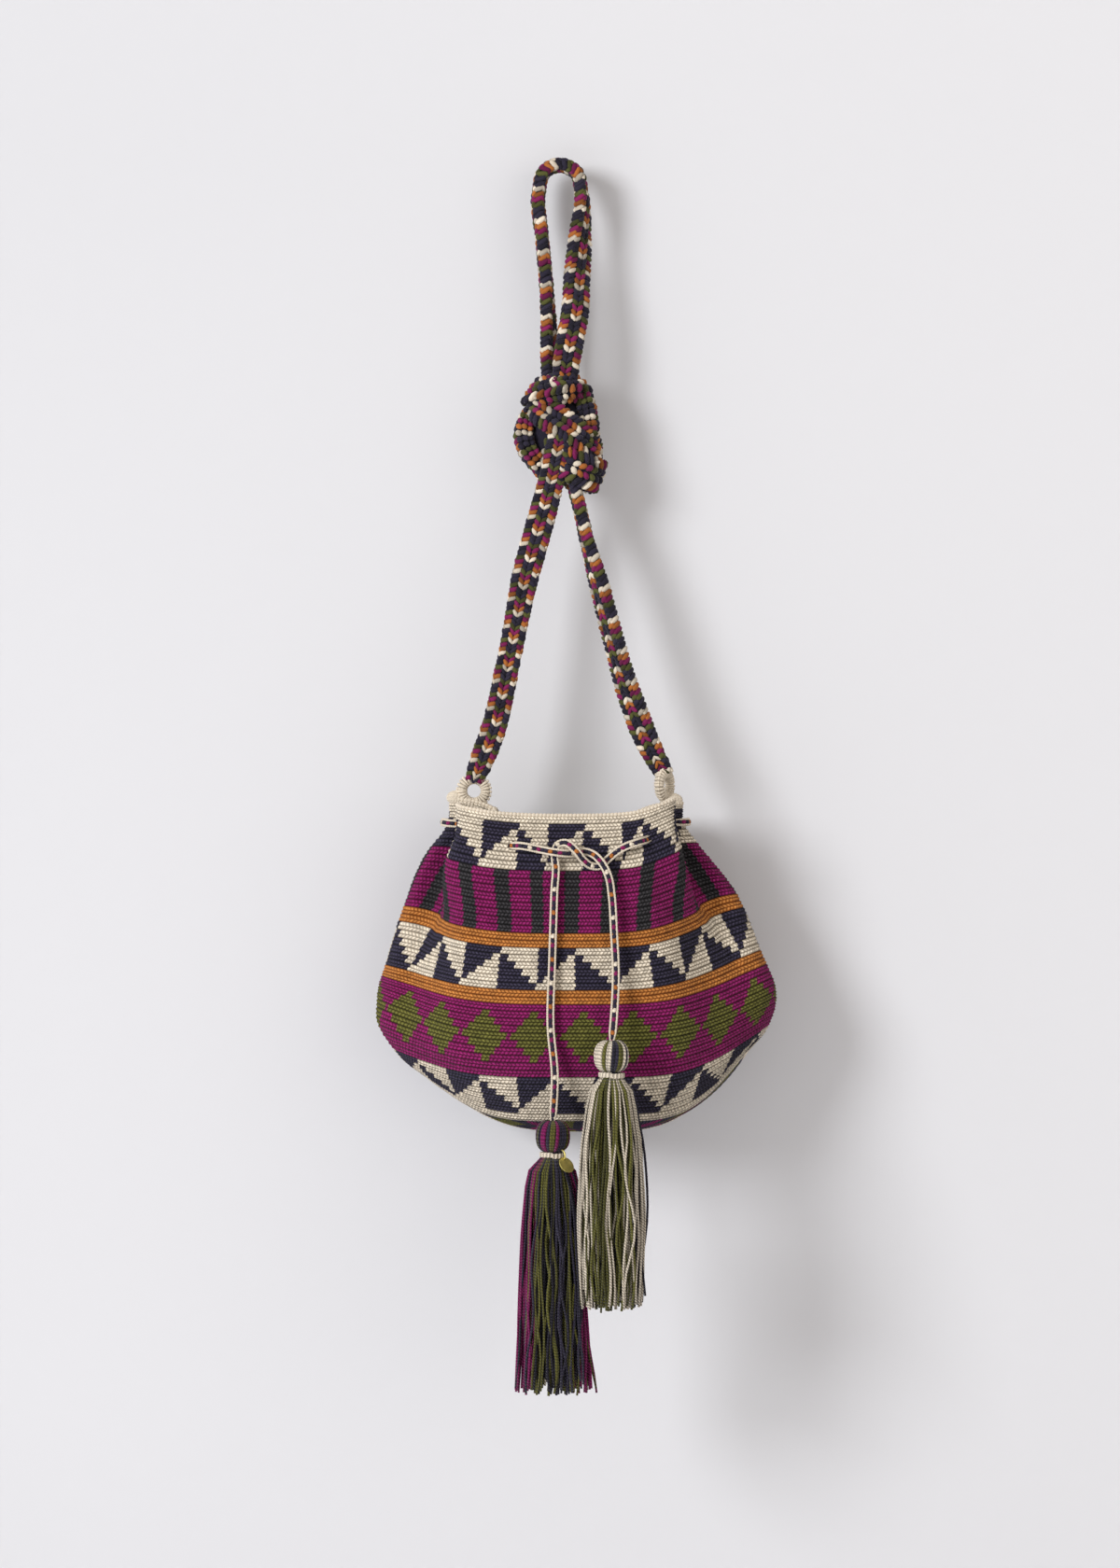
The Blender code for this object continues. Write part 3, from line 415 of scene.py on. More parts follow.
def wall_section(row):
    """The outer face's dense loop at a row, from its front centre towards +X."""
    table = np.array(BODY_ROWS)
    left, right, front, side_left, side_right, back, depth, gather = (
        smooth(row, table[:, 0], column) for column in table[:, 1:].T
    )
    down = row / ROWS
    share = NECK_LOOP * gather + BELLY_LOOP * (1 - gather)
    angle = np.arange(STITCHES) / STITCHES * 2 * math.pi
    x = (left + right) / 2 + (right - left) / 2 * share[:, 0]
    y = depth * share[:, 1] + CREASE_DEPTH * (1 - gather) * (1 - down**2) * crease(share[:, 0], angle)
    lift = np.abs(np.sin(angle)) ** (2.5 + 2.5 * down)
    middle = (front + back) / 2 + (front - back) / 2 * np.cos(angle)
    side = np.where(np.sin(angle) > 0, side_right, side_left)
    dip = FOLD_DIP * np.exp(-(((np.abs(np.sin(angle)) - FOLD_PLACE) / FOLD_SPREAD) ** 2))
    z = middle * (1 - lift) + side * lift + gather * (corner_rise(angle) - dip)
    return np.stack([x, y, z], axis=1) / 1000


def wall_loop(row, count):
    """Evenly spaced points round the wall at a row, from x = 0 on the front towards +X."""
    dense = wall_section(row)
    loop = np.concatenate([dense, dense[:1]])
    places = lengths_along(loop)
    front = np.arange(-40, 40)
    nearest = np.interp(0.0, dense[front, 0], front)
    start = np.interp(nearest % STITCHES, np.arange(len(loop)), places)
    return columns_at((start + np.arange(count) / count * places[-1]) % places[-1], places, loop)


def base_loop(share, count):
    """A loop on the base at this share of the way from its middle to its edge."""
    edge = wall_loop(ROWS, count)
    x = (edge[:, 0].min() + edge[:, 0].max()) / 2
    middle = np.array([x, 0.0, edge[[0, count // 2], 2].mean() - BASE_SAG])
    loop = middle + (edge - middle) * share
    power = BASE_POWER + BASE_BULGE * ramp((edge[:, 0] - middle[0]) / (edge[:, 0].max() - middle[0]))
    loop[:, 2] = middle[2] + (edge[:, 2] - middle[2]) * share**power
    return loop


def wall_frame(stitch, row):
    """A point of the wall and the level direction out of it."""
    loop = wall_loop(row, STITCHES)
    at = stitch % STITCHES
    k = int(at) % STITCHES
    point = loop[k] + (loop[(k + 1) % STITCHES] - loop[k]) * (at - int(at))
    along = loop[(k + 3) % STITCHES] - loop[(k - 2) % STITCHES]
    return point, unit(np.array([along[1], -along[0], 0.0]))


# Meshes


def linked(name, data):
    """An object at the origin, in the scene."""
    made = bpy.data.objects.new(name, data)
    bpy.context.scene.collection.objects.link(made)
    return made


def new_piece(name, mesh, material, body, nodes):
    """A piece with its material and body, with its CAD nodes hidden."""
    made = linked(name, mesh)
    mesh.materials.clear()
    mesh.materials.append(material)
    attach(made, body)
    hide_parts(*nodes)
    return made


def finish_bmesh(made, name):
    mesh = bpy.data.meshes.new(name)
    made.to_mesh(mesh)
    made.free()
    mesh.shade_smooth()
    return mesh


def paint(mesh, colours):
    """Stores one colour for the whole mesh, or one for each face, in the yarn attribute."""
    attribute = mesh.attributes.new("yarn", "FLOAT_COLOR", "CORNER")
    totals = np.empty(len(mesh.polygons), np.int32)
    mesh.polygons.foreach_get("loop_total", totals)
    colours = np.broadcast_to(np.asarray(colours, float), (len(totals), 4))
    attribute.data.foreach_set("color", np.repeat(colours, totals, axis=0).ravel())
    return mesh


def closed(points):
    """A table of points with its first column again at its end."""
    return np.concatenate([points, points[:, :1]], axis=1)


def bent_grid(made, points, uv_scale):
    """Adds a grid of faces to the bmesh and lays it through a table of points, with UVs up to these scales."""
    rows, columns = points.shape[:2]
    layer = made.loops.layers.uv.verify()
    grid = bmesh.ops.create_grid(made, x_segments=columns - 1, y_segments=rows - 1, size=1, calc_uvs=True)
    faces = set()
    for vertex in grid["verts"]:
        column = round((vertex.co.x + 1) / 2 * (columns - 1))
        row = round((vertex.co.y + 1) / 2 * (rows - 1))
        vertex.co = points[row, column]
        faces.update(vertex.link_faces)
    for face in faces:
        for corner in face.loops:
            uv = corner[layer].uv
            corner[layer].uv = (uv[0] * uv_scale[0], uv[1] * uv_scale[1])
    return faces


def grid_mesh(name, points, uv_scale, colour=None, capped=False, place=None):
    """A mesh laid through a table of points, with its seam merged and, where asked, ends closed, moved and painted."""
    made = bmesh.new()
    bent_grid(made, points, uv_scale)
    bmesh.ops.remove_doubles(made, verts=made.verts, dist=MERGE)
    if capped:
        bmesh.ops.holes_fill(made, edges=made.edges)
    if place:
        made.transform(place)
    mesh = finish_bmesh(made, name)
    return paint(mesh, colour) if colour else mesh


def face_uvs(mesh):
    """The mean UV of each face."""
    uvs = np.empty(len(mesh.loops) * 2, np.float32)
    mesh.uv_layers.active.data.foreach_get("uv", uvs)
    starts, totals = np.empty((2, len(mesh.polygons)), np.int32)
    mesh.polygons.foreach_get("loop_start", starts)
    mesh.polygons.foreach_get("loop_total", totals)
    return np.add.reduceat(uvs.reshape(-1, 2), starts, axis=0) / totals[:, None]


def add_ball(made, segments, rings, place):
    made.loops.layers.uv.verify()
    bmesh.ops.create_uvsphere(made, u_segments=segments, v_segments=rings, radius=1, matrix=place, calc_uvs=True)


def bead():
    """A small closed grain of yarn, one unit in each half size, as a template to copy."""
    made = bmesh.new()
    add_ball(made, 6, 4, Matrix())
    return finish_bmesh(made, "grain")


def scatter(name, frames, colours):
    """One mesh with a grain of yarn at each 3 by 4 frame, each in its own colour."""
    template = bead()
    points = np.empty(len(template.vertices) * 3)
    template.vertices.foreach_get("co", points)
    points = points.reshape(-1, 3)
    frames = np.asarray(frames, float)
    moved = np.einsum("nij,vj->nvi", frames[:, :, :3], points) + frames[:, None, :, 3]
    polygons = [list(polygon.vertices) for polygon in template.polygons]
    faces = [
        [index + copy * len(points) for index in polygon] for copy in range(len(frames)) for polygon in polygons
    ]
    mesh = bpy.data.meshes.new(name)
    mesh.from_pydata(moved.reshape(-1, 3), [], faces)
    layer = mesh.uv_layers.new(name="UVMap")
    uvs = np.empty(len(template.loops) * 2)
    template.uv_layers.active.data.foreach_get("uv", uvs)
    layer.data.foreach_set("uv", np.tile(uvs, len(frames)))
    mesh.shade_smooth()
    return paint(mesh, np.repeat(np.asarray(colours, float), len(polygons), axis=0))


def grain_frame(centre, along, out, half_length, half_width, half_height):
    """A frame that lays a grain along a direction, with its thin side facing out."""
    along = unit(along)
    side = unit(np.cross(out, along))
    out = np.cross(along, side)
    return np.stack([side * half_width, out * half_height, along * half_length, centre], axis=1)


def joined(name, meshes):
    """One mesh from several that share the yarn attribute."""
    made = bmesh.new()
    for mesh in meshes:
        made.from_mesh(mesh)
        bpy.data.meshes.remove(mesh)
    return finish_bmesh(made, name)


# Materials


def node_group(name, inputs, outputs):
    """An empty shader group with named sockets, and its input and output nodes."""
    group = bpy.data.node_groups.new(name, "ShaderNodeTree")
    for label, kind, value in inputs:
        socket = group.interface.new_socket(name=label, in_out="INPUT", socket_type=kind)
        if value is not None:
            socket.default_value = value
    for label, kind in outputs:
        group.interface.new_socket(name=label, in_out="OUTPUT", socket_type=kind)
    return group, group.nodes.new("NodeGroupInput"), group.nodes.new("NodeGroupOutput")


def plug(tree, value, socket):
    """Links a socket to another one, or sets it to a plain value."""
    if isinstance(value, bpy.types.NodeSocket):
        tree.links.new(value, socket)
    else:
        socket.default_value = value


def feed(tree, node, **inputs):
    """Plugs values into a node's named inputs, where an underscore stands for a space."""
    for label, value in inputs.items():
        plug(tree, value, node.inputs[label.replace("_", " ")])
    return node


def add_node(tree, kind, **inputs):
    return feed(tree, tree.nodes.new("ShaderNode" + kind), **inputs)


def math_node(tree, operation, *values):
    """The result of a Math node fed by sockets or numbers."""
    node = tree.nodes.new("ShaderNodeMath")
    node.operation = operation
    for socket, value in zip(node.inputs, values):
        plug(tree, value, socket)
    return node.outputs[0]


def scaled_colour(tree, colour, factor):
    """A colour times a factor."""
    node = tree.nodes.new("ShaderNodeVectorMath")
    node.operation = "SCALE"
    return feed(tree, node, Vector=colour, Scale=factor).outputs[0]


def object_place(tree):
    return tree.nodes.new("ShaderNodeTexCoord").outputs["Object"]


def object_noise(tree, scale, detail):
    """Noise over the object."""
    return add_node(tree, "TexNoise", Scale=scale, Detail=detail, Vector=object_place(tree)).outputs["Fac"]


def uv_axes(tree):
    """The two UV coordinates."""
    uv = tree.nodes.new("ShaderNodeUVMap").outputs[0]
    return add_node(tree, "SeparateXYZ", Vector=uv).outputs[:2]


def group_node(tree, group, **inputs):
    node = tree.nodes.new("ShaderNodeGroup")
    node.node_tree = group
    return feed(tree, node, **inputs)


def new_material(name):
    """A material, its node tree and its shader."""
    made = bpy.data.materials.new(name)
    made.use_nodes = True
    return made, made.node_tree, made.node_tree.nodes["Principled BSDF"]


def twist_group():
    """Ply of a yarn: slanting ridges over the UVs with painted shade in the grooves between them, and fuzz and fading
    over the object.
    """
    name = "Yarn Twist"
    if name in bpy.data.node_groups:
        return bpy.data.node_groups[name]
    group, start, end = node_group(
        name,
        [("Colour", "NodeSocketColor", None), ("Across", "NodeSocketFloat", 1.0),
         ("Along", "NodeSocketFloat", 1.0), ("Depth", "NodeSocketFloat", 0.5), ("Fade", "NodeSocketFloat", 0.2)],
        [("Colour", "NodeSocketColor"), ("Height", "NodeSocketFloat"), ("Roughness", "NodeSocketFloat")],
    )
    calc = partial(math_node, group)
    u, v = uv_axes(group)
    depth = start.outputs["Depth"]
    phase = calc("ADD", calc("MULTIPLY", u, start.outputs["Across"]), calc("MULTIPLY", v, start.outputs["Along"]))
    ridge = calc("MULTIPLY_ADD", calc("SINE", calc("MULTIPLY", phase, 2 * math.pi)), 0.5, 0.5)
    fuzz = object_noise(group, 2600, 3)
    fade = object_noise(group, 160, 2)
    # Painted shade: the colour darkens in the grooves between the ply's ridges, more for deeper plies; fuzz and fading
    # are random tone.
    shade = calc("MULTIPLY_ADD", depth, -0.42, 1.0)
    shade = calc("MULTIPLY_ADD", ridge, calc("MULTIPLY", depth, 0.6), shade)
    shade = calc("ADD", shade, calc("MULTIPLY", calc("SUBTRACT", fade, 0.5), start.outputs["Fade"]))
    shade = calc("MULTIPLY_ADD", calc("SUBTRACT", fuzz, 0.5), 0.5, shade)
    feed(
        group, end, Colour=scaled_colour(group, start.outputs["Colour"], shade),
        Height=calc("ADD", calc("MULTIPLY", ridge, depth), calc("MULTIPLY", fuzz, 0.55)),
        Roughness=calc("MULTIPLY_ADD", ridge, 0.1, 0.8),
    )
    return group


def yarn_material(name):
    """Spun cotton that takes its colour from the yarn attribute and its ply from the UVs."""
    if name in bpy.data.materials:
        return bpy.data.materials[name]
    made, tree, shader = new_material(name)
    across, along, depth, bump, fade = PLIES[name]
    colour = tree.nodes.new("ShaderNodeAttribute")
    colour.attribute_name = "yarn"
    twist = group_node(
        tree, twist_group(), Colour=colour.outputs["Color"], Across=across, Along=along, Depth=depth, Fade=fade
    )
    relief = add_node(tree, "Bump", Strength=0.8, Distance=bump, Height=twist.outputs["Height"])
    feed(
        tree, shader, Base_Color=twist.outputs["Colour"], Roughness=twist.outputs["Roughness"],
        Normal=relief.outputs["Normal"], Sheen_Weight=0.12, Sheen_Roughness=0.4, Specular_IOR_Level=0.2,
    )
    return made


def stitch_group():
    """One crochet stitch to each UV unit across and one row to each unit down: two slanting legs on each ridge."""
    name = "Crochet Stitch"
    if name in bpy.data.node_groups:
        return bpy.data.node_groups[name]
    group, start, end = node_group(
        name, [("Slant", "NodeSocketFloat", 0.5)],
        [("Height", "NodeSocketFloat"), ("Hollow", "NodeSocketFloat"), ("Fleck", "NodeSocketFloat")],
    )
    calc = partial(math_node, group)

    def arch(turn, power):
        return calc("POWER", calc("ABSOLUTE", calc("SINE", turn)), power)

    u, v = uv_axes(group)
    halves = calc("MULTIPLY", v, 2.0)
    floor = calc("FLOOR", halves)
    within = calc("SUBTRACT", calc("FRACT", halves), 0.5)
    side = calc("MULTIPLY_ADD", calc("PINGPONG", floor, 1.0), 2.0, -1.0)
    lean = calc("MULTIPLY", calc("MULTIPLY", within, side), start.outputs["Slant"])
    place = calc("ADD", calc("MULTIPLY_ADD", floor, 0.5, u), lean)
    turn = calc("MULTIPLY", v, math.pi)
    rib = calc("MULTIPLY", arch(turn, 0.35), arch(calc("MULTIPLY", turn, 2.0), 0.52))
    both = calc("MULTIPLY", arch(calc("MULTIPLY", place, math.pi), 0.38), rib)
    cell = add_node(group, "CombineXYZ", X=calc("FLOOR", place), Y=floor)
    fleck = add_node(group, "TexWhiteNoise", Vector=cell.outputs[0])
    feed(group, end, Height=both, Hollow=calc("SUBTRACT", 1.0, both), Fleck=fleck.outputs["Value"])
    return group


def crochet_material():
    """Crocheted cotton: stitches over the UVs, with painted shade darkening the gaps between them, and the yarn's own
    fuzz.
    """
    name = "Crocheted cotton"
    if name in bpy.data.materials:
        return bpy.data.materials[name]
    made = yarn_material(name)
    tree = made.node_tree
    calc = partial(math_node, tree)
    twist = next(node for node in tree.nodes if node.type == "GROUP")
    relief = next(node for node in tree.nodes if node.type == "BUMP")
    stitch = group_node(tree, stitch_group()).outputs
    feed(tree, relief, Height=calc("MULTIPLY_ADD", stitch["Height"], 2.0, twist.outputs["Height"]))
    # Painted shade: the colour darkens where the stitches sink, and the gamma deepens dark yarns most in the hollows;
    # the flecks are random tone.
    shade = calc("MULTIPLY_ADD", stitch["Height"], 1.05, 0.42)
    shade = calc("MULTIPLY", shade, calc("MULTIPLY_ADD", stitch["Fleck"], 0.32, 0.84))
    hollow_shade = add_node(
        tree, "Gamma", Color=scaled_colour(tree, twist.outputs["Colour"], shade),
        Gamma=calc("MULTIPLY_ADD", stitch["Hollow"], 0.55, 0.86),
    )
    feed(tree, tree.nodes["Principled BSDF"], Base_Color=hollow_shade.outputs[0], Sheen_Weight=0.04)
    return made


def brass_material():
    """Thin brass sheet and wire, a little dulled and scratched."""
    name = "Dull brass"
    if name in bpy.data.materials:
        return bpy.data.materials[name]
    made, tree, shader = new_material(name)
    tarnish = object_noise(tree, 350, 5)
    tones = add_node(tree, "ValToRGB", Fac=tarnish)
    for element, place, shade in zip(tones.color_ramp.elements, (0.3, 0.65), (0.7, 1.0)):
        element.position = place
        element.color = yarn("brass", shade)
    relief = add_node(tree, "Bump", Strength=0.25, Distance=0.0002, Height=tarnish)
    feed(
        tree, shader, Base_Color=tones.outputs["Color"], Metallic=0.75, Normal=relief.outputs["Normal"],
        Roughness=math_node(tree, "MULTIPLY_ADD", tarnish, 0.3, 0.28),
    )
    return made


# Crochet


def step_is_cream(stitch, row, first):
    """Whether a stepped band is cream at these stitches: two facing stairs, mirrored, every 20 stitches."""
    down_side, up_side = STEP_SIDES[first]
    r = row - first
    down = 9 - np.floor(down_side - stitch) % 20
    up = 9 - np.floor(up_side - stitch) % 20
    narrowing = (down >= 2 * r) & (down >= 0)
    widening = (up >= 10 - 2 * r) & (up >= 0)
    return narrowing | widening


def gathered(stitch, row):
    """The pattern's count of stitches above the first mustard band, with those that the folds take in."""
    # Stitches counted to the left and to the right of the front's middle, each with the back on its far side
    left = (stitch - STITCHES / 4) % STITCHES - STITCHES * 0.75
    right = (stitch + STITCHES / 4) % STITCHES - STITCHES / 4
    steps = row < BANDS[2][0]
    taken = 0
    for in_steps, in_stripes, start, end in LEFT_FOLDS:
        taken = taken + np.where(steps, in_steps, in_stripes) * rise(left, start, end)
    taken = taken * (1 - rise(left, *LEFT_EASING))
    for in_steps, in_stripes, start, end, *easing in RIGHT_FOLDS:
        fold = np.where(steps, in_steps, in_stripes) * rise(right, start, end)
        taken = taken + fold * (1 - rise(right, *easing))
    return np.where(row < GATHERED_ROWS, stitch - taken, stitch)


def off_centre(stitch, centre, period):
    """How far each stitch is from the nearest middle of a repeat."""
    return np.abs((stitch - centre + period / 2) % period - period / 2)


def stitch_colours(stitch, row):
    """The colour of each stitch, from where it stands round the wall and its row."""
    colours = np.tile(yarn("navy"), (len(stitch), 1))
    stitch = gathered(stitch, row) + STITCH_LEAN * (row % 1 - 0.5)
    row = np.floor(row)
    for first, end, worked in BANDS:
        here = (row >= first) & (row < end)
        if worked == "steps":
            colours[here & step_is_cream(stitch, row, first)] = yarn("cream")
        elif worked == "stripes":
            colours[here] = yarn("magenta")
            colours[here & (off_centre(stitch, STRIPE_CENTRE, STRIPE_PERIOD) < STRIPE_DARK / 2)] = yarn("dark")
        elif worked == "diamonds":
            step = np.clip(row - DIAMOND_FIRST, -1, len(DIAMOND_WIDTHS)).astype(int)
            width = np.array((*DIAMOND_WIDTHS, 0, 0))[step]
            colours[here] = yarn("magenta")
            colours[here & (off_centre(stitch, DIAMOND_CENTRE, DIAMOND_PERIOD) < width / 2)] = yarn("olive")
        else:
            colours[here] = yarn(worked)
    return colours


def surface_normals(points):
    """Unit normals of a table of points that closes on itself across."""
    across = np.roll(points, -1, axis=1) - np.roll(points, 1, axis=1)
    down = np.gradient(points, axis=0)
    normals = np.cross(down, across)
    return normals / np.linalg.norm(normals, axis=2, keepdims=True)


def stitch_relief(rows, count, per_row, per_stitch):
    """How far each point of the crochet stands out: two ridges a row, a lump a stitch, and some unevenness."""
    relief = sizes().row_relief
    lines = np.arange(rows)[:, None]
    columns = np.arange(count)[None, :]
    ridge = np.array(ROW_PROFILE)[lines * 4 // per_row % 4]
    shift = 0.5 * ((lines * 2 // per_row) % 2)
    lump = np.cos(2 * math.pi * (columns / per_stitch + shift))
    random = np.random.default_rng(7)
    knobs = random.normal(0, 0.16, (rows // per_row + 2, count // per_stitch))
    uneven = np.repeat(np.repeat(knobs, per_row, axis=0)[:rows], per_stitch, axis=1)[:, :count]
    return relief * (ridge * 0.8 + lump * 0.5 + uneven)


def crochet_band(name, first, end, per_row=4, per_stitch=3):
    """The outer face of the wall between two rows, stitch by stitch."""
    count = STITCHES * per_stitch
    points = wall_points([first + k / per_row for k in range((end - first) * per_row + 1)], count)
    height = stitch_relief(len(points), count, per_row, per_stitch)
    points += surface_normals(points) * (height - sizes().row_relief * 0.5)[:, :, None]
    made = bmesh.new()
    bent_grid(made, closed(points), (STITCHES, end - first))
    layer = made.loops.layers.uv.verify()
    for face in made.faces:
        for corner in face.loops:
            corner[layer].uv.y += first
    punch_eyelets(made, EYELET_RADIUS)
    bmesh.ops.remove_doubles(made, verts=made.verts, dist=MERGE)
    mesh = finish_bmesh(made, name)
    return paint(mesh, stitch_colours(*face_uvs(mesh).T))


def punch_eyelets(made, radius):
    """Opens the crochet where the drawstring goes through."""
    centres = [Vector(wall_frame(stitch, EYELET_ROW)[0]) for stitch in EYELET_STITCHES]
    hit = [
        face for face in made.faces
        if any((face.calc_center_median() - centre).length < radius for centre in centres)
    ]
    bmesh.ops.delete(made, geom=hit, context="FACES")


def wall_points(rows, count):
    return np.stack([wall_loop(row, count) for row in rows])


def lining_points(rows, count):
    points = wall_points(rows, count)
    return points - surface_normals(points) * (sizes().wall - LINING_EASE)


def make_lining():
    """The inner face of wall and base, in the same yarns, the wall's darkened as painted shade inside the bag."""
    count = STITCHES * 2
    floor = np.stack([base_loop(share, count) for share in np.linspace(0.97, 0.03, BASE_ROUNDS)])
    floor[:, :, 2] += sizes().wall
    made = bmesh.new()
    bent_grid(made, closed(lining_points(np.arange(2 * ROWS + 1) / 2, count))[::-1], (STITCHES, ROWS))
    bent_grid(made, closed(floor)[::-1], (STITCHES, BASE_ROUNDS))
    punch_eyelets(made, LINING_EYELET_RADIUS)
    bmesh.ops.remove_doubles(made, verts=made.verts, dist=MERGE)
    mesh = finish_bmesh(made, "lining")
    uvs = face_uvs(mesh)
    # Painted shade: the inner wall takes the outer stitches' colours darkened to 0.8.
    colours = stitch_colours(uvs[:, 0], ROWS - uvs[:, 1]) * (0.8, 0.8, 0.8, 1)
    colours[len(colours) - (BASE_ROUNDS - 1) * count:] = yarn("navy")
    return paint(mesh, colours)


def base_colours(stitch, place):
    """A star of olive and magenta points on navy, worked by rule from the middle of the base."""
    out = 1 - place / BASE_ROUNDS
    colours = np.tile(yarn("navy"), (len(stitch), 1))
    point = np.abs(stitch / STITCHES * STAR_POINTS % 1 - 0.5) * 2
    colours[(out > 0.12) & (point < 1.25 - out * 1.25)] = yarn("magenta")
    colours[(out > 0.45) & (point > 1.5 - out * 0.95)] = yarn("olive")
    colours[out > 0.965] = yarn("cream")
    return colours


def make_base(per_round=4):
    """The base, worked in rounds from its middle."""
    shares = np.linspace(1.0, 0.012, BASE_ROUNDS * per_round + 1)
    points = np.stack([base_loop(share, STITCHES * 2) for share in shares])
    ridge = np.array(ROW_PROFILE)[np.arange(len(shares)) * 4 // per_round % 4]
    points += surface_normals(points) * (sizes().row_relief * 0.7 * ridge)[:, None, None]
    mesh = grid_mesh("base", closed(points), (STITCHES, BASE_ROUNDS))
    return paint(mesh, base_colours(*face_uvs(mesh).T))


def edge_chain(loop, inner, height=0.0013):
    """A crocheted chain along the rim: two slanting grains to a stitch, lying over the wall's top."""
    frames = []
    for point, following, inside in zip(loop, np.roll(loop, -1, axis=0), inner):
        for side, lean in ((0.22, 0.55), (0.78, -0.55)):
            centre = point * (1 - side) + inside * side + (0, 0, height * 0.4)
            along = unit(following - point) + unit(inside - point) * lean
            frames.append(grain_frame(centre, along, (0.0, 0.0, 1.0), 0.0015, 0.00105, height))
    return scatter("rim_chain", frames, [yarn("cream")] * len(frames))


def rim_edge():
    """The rim's chain, and the strip below it that closes the wall's top."""
    loop = wall_loop(0, STITCHES)
    inner = lining_points([0, 0.5], STITCHES)[0]
    strip = closed(np.stack([loop, (loop + inner) / 2 + (0, 0, 0.0006), inner]))[::-1]
    top = grid_mesh("rim_top", strip, (STITCHES, 1), yarn("cream"))
    return joined("rim_edge", [top, edge_chain(loop, inner)])


# Braids


def band_frames(route, step, width, thickness):
    """Points along a flat band with its half width and half thickness as vectors."""
    route = np.array(route, float)
    route[:, :3] /= 1000
    path = smooth_path(route, step)
    frames = []
    for k, point in enumerate(path):
        along = heading(path, k)
        depth = unit(BACK - along * along[1])
        turn = math.radians(point[3])
        wide = np.cross(along, depth) * math.cos(turn) + depth * math.sin(turn)
        thin = np.cross(along, wide)
        frames.append((point[:3], along, wide * width * point[4] / 2, thin * thickness / 2))
    return frames


def fold_frames(route, step, width, thickness):
    """Points along a fold of the knot, with its wide face away from the knot's middle."""
    path = smooth_path(np.array(route, float) / 1000, step)
    middle = np.array(KNOT_MIDDLE) / 1000
    frames = []
    for k, point in enumerate(path):
        along = heading(path, k)
        out = (point - middle) * (1.0, 1.0, 0.35)
        out = unit(out - along * np.dot(out, along))
        frames.append((point, along, np.cross(out, along) * width / 2, out * thickness / 2))
    return frames


def collar_route(count=12, radius=11.5, tilt=math.radians(12)):
    """The fold that wraps both strands at the top of the knot, with its left end lower."""
    centre = np.array(KNOT_COLLAR)
    angle = 2 * math.pi * np.arange(count + 1) / count
    across = radius * np.sin(angle)
    return centre + np.stack([
        across * math.cos(tilt), -0.88 * radius * np.cos(angle), across * math.sin(tilt)
    ], axis=1)


def knot_heart():
    """The inside of the knot, which closes the gaps between its folds, painted dark as the shade seen between them."""
    made = bmesh.new()
    add_ball(made, 24, 14, Matrix.Translation(Vector(KNOT_MIDDLE) / 1000) @ Matrix.Diagonal((*KNOT_HEART, 1)))
    return paint(finish_bmesh(made, "knot_heart"), yarn("night", 0.6))


def braid_shade_core(name, frames, shrink=0.80):
    """The inside of a braid, seen between its stitches, painted dark as the shade there."""
    corners = ((1, 0), (0.8, 0.75), (0, 1), (-0.8, 0.75), (-1, 0), (-0.8, -0.75), (0, -1), (0.8, -0.75), (1, 0))
    points = np.array([
        [point + wide * a * shrink + thin * b * shrink for a, b in corners] for point, _, wide, thin in frames
    ])
    return grid_mesh(name, points, (1, len(frames)), yarn("night", 0.6), capped=True)


def braid_stitches(name, frames, order, start, edge_places):
    """Grains of yarn on a braid: two slanting columns and a V between them on both wide faces, and the edges."""
    random = np.random.default_rng(len(frames))
    made, names = [], []
    for k, (point, along, wide, thin) in enumerate(frames):
        width, height = np.linalg.norm(wide), np.linalg.norm(thin)
        across, out = wide / width, thin / height
        point = point + along * random.normal(0, 0.00012)
        inner, outer = (BRAID[(k * order + ahead + start) % len(BRAID)] for ahead in (0, 3))
        for face in (1, -1):
            for side in (1, -1):
                centre = point + across * side * width * 0.68 + out * face * height * 0.62
                made.append(grain_frame(centre, along * 0.62 - across * side * order, out * face + across * side * 0.5,
                                        width * 0.40, 0.00180, height * 0.44))
                centre = point + across * side * width * 0.22 + out * face * height * 0.80
                made.append(grain_frame(centre, along + across * side * order * 0.75, out * face + across * side * 0.1,
                                        0.0027, width * 0.21, height * 0.38))
                names += [outer, inner]
        for side in (1, -1):
            for place in edge_places:
                centre = point + across * side * width * 0.93 * math.sqrt(1 - place * place) + out * place * height
                made.append(grain_frame(centre, along * 0.6 + out * side * order, across * side + out * place,
                                        height * 0.85 / len(edge_places) + 0.0006, 0.0018, 0.0013))
                names.append(outer)
    shades = random.choice((0.55, 0.8, 0.95, 1.05), len(names)) * random.uniform(0.92, 1.08, len(names))
    for frame in made:
        frame[:, 3] += random.normal(0, 0.00014, 3)
        frame[:, :2] *= random.uniform(0.86, 1.04)
    return scatter(name, made, [yarn(*pair) for pair in zip(names, shades)])


def braid(name, frames, order, start, edge_places):
    core = braid_shade_core(name + "_core", frames)
    return joined(name, [core, braid_stitches(name + "_grain", frames, order, start, edge_places)])


def cream_start(frames, order, height):
    """The braid's starting yarn that brings a cream V to this height."""
    nearest = min(range(len(frames)), key=lambda k: abs(frames[k][0][2] - height))
    return -nearest * order


# Rings


def ring_place(side):
    centre, turn, _, _ = RINGS[side]
    return Matrix.Translation(Vector(centre) / 1000) @ Matrix.Rotation(math.radians(turn), 4, "Z")


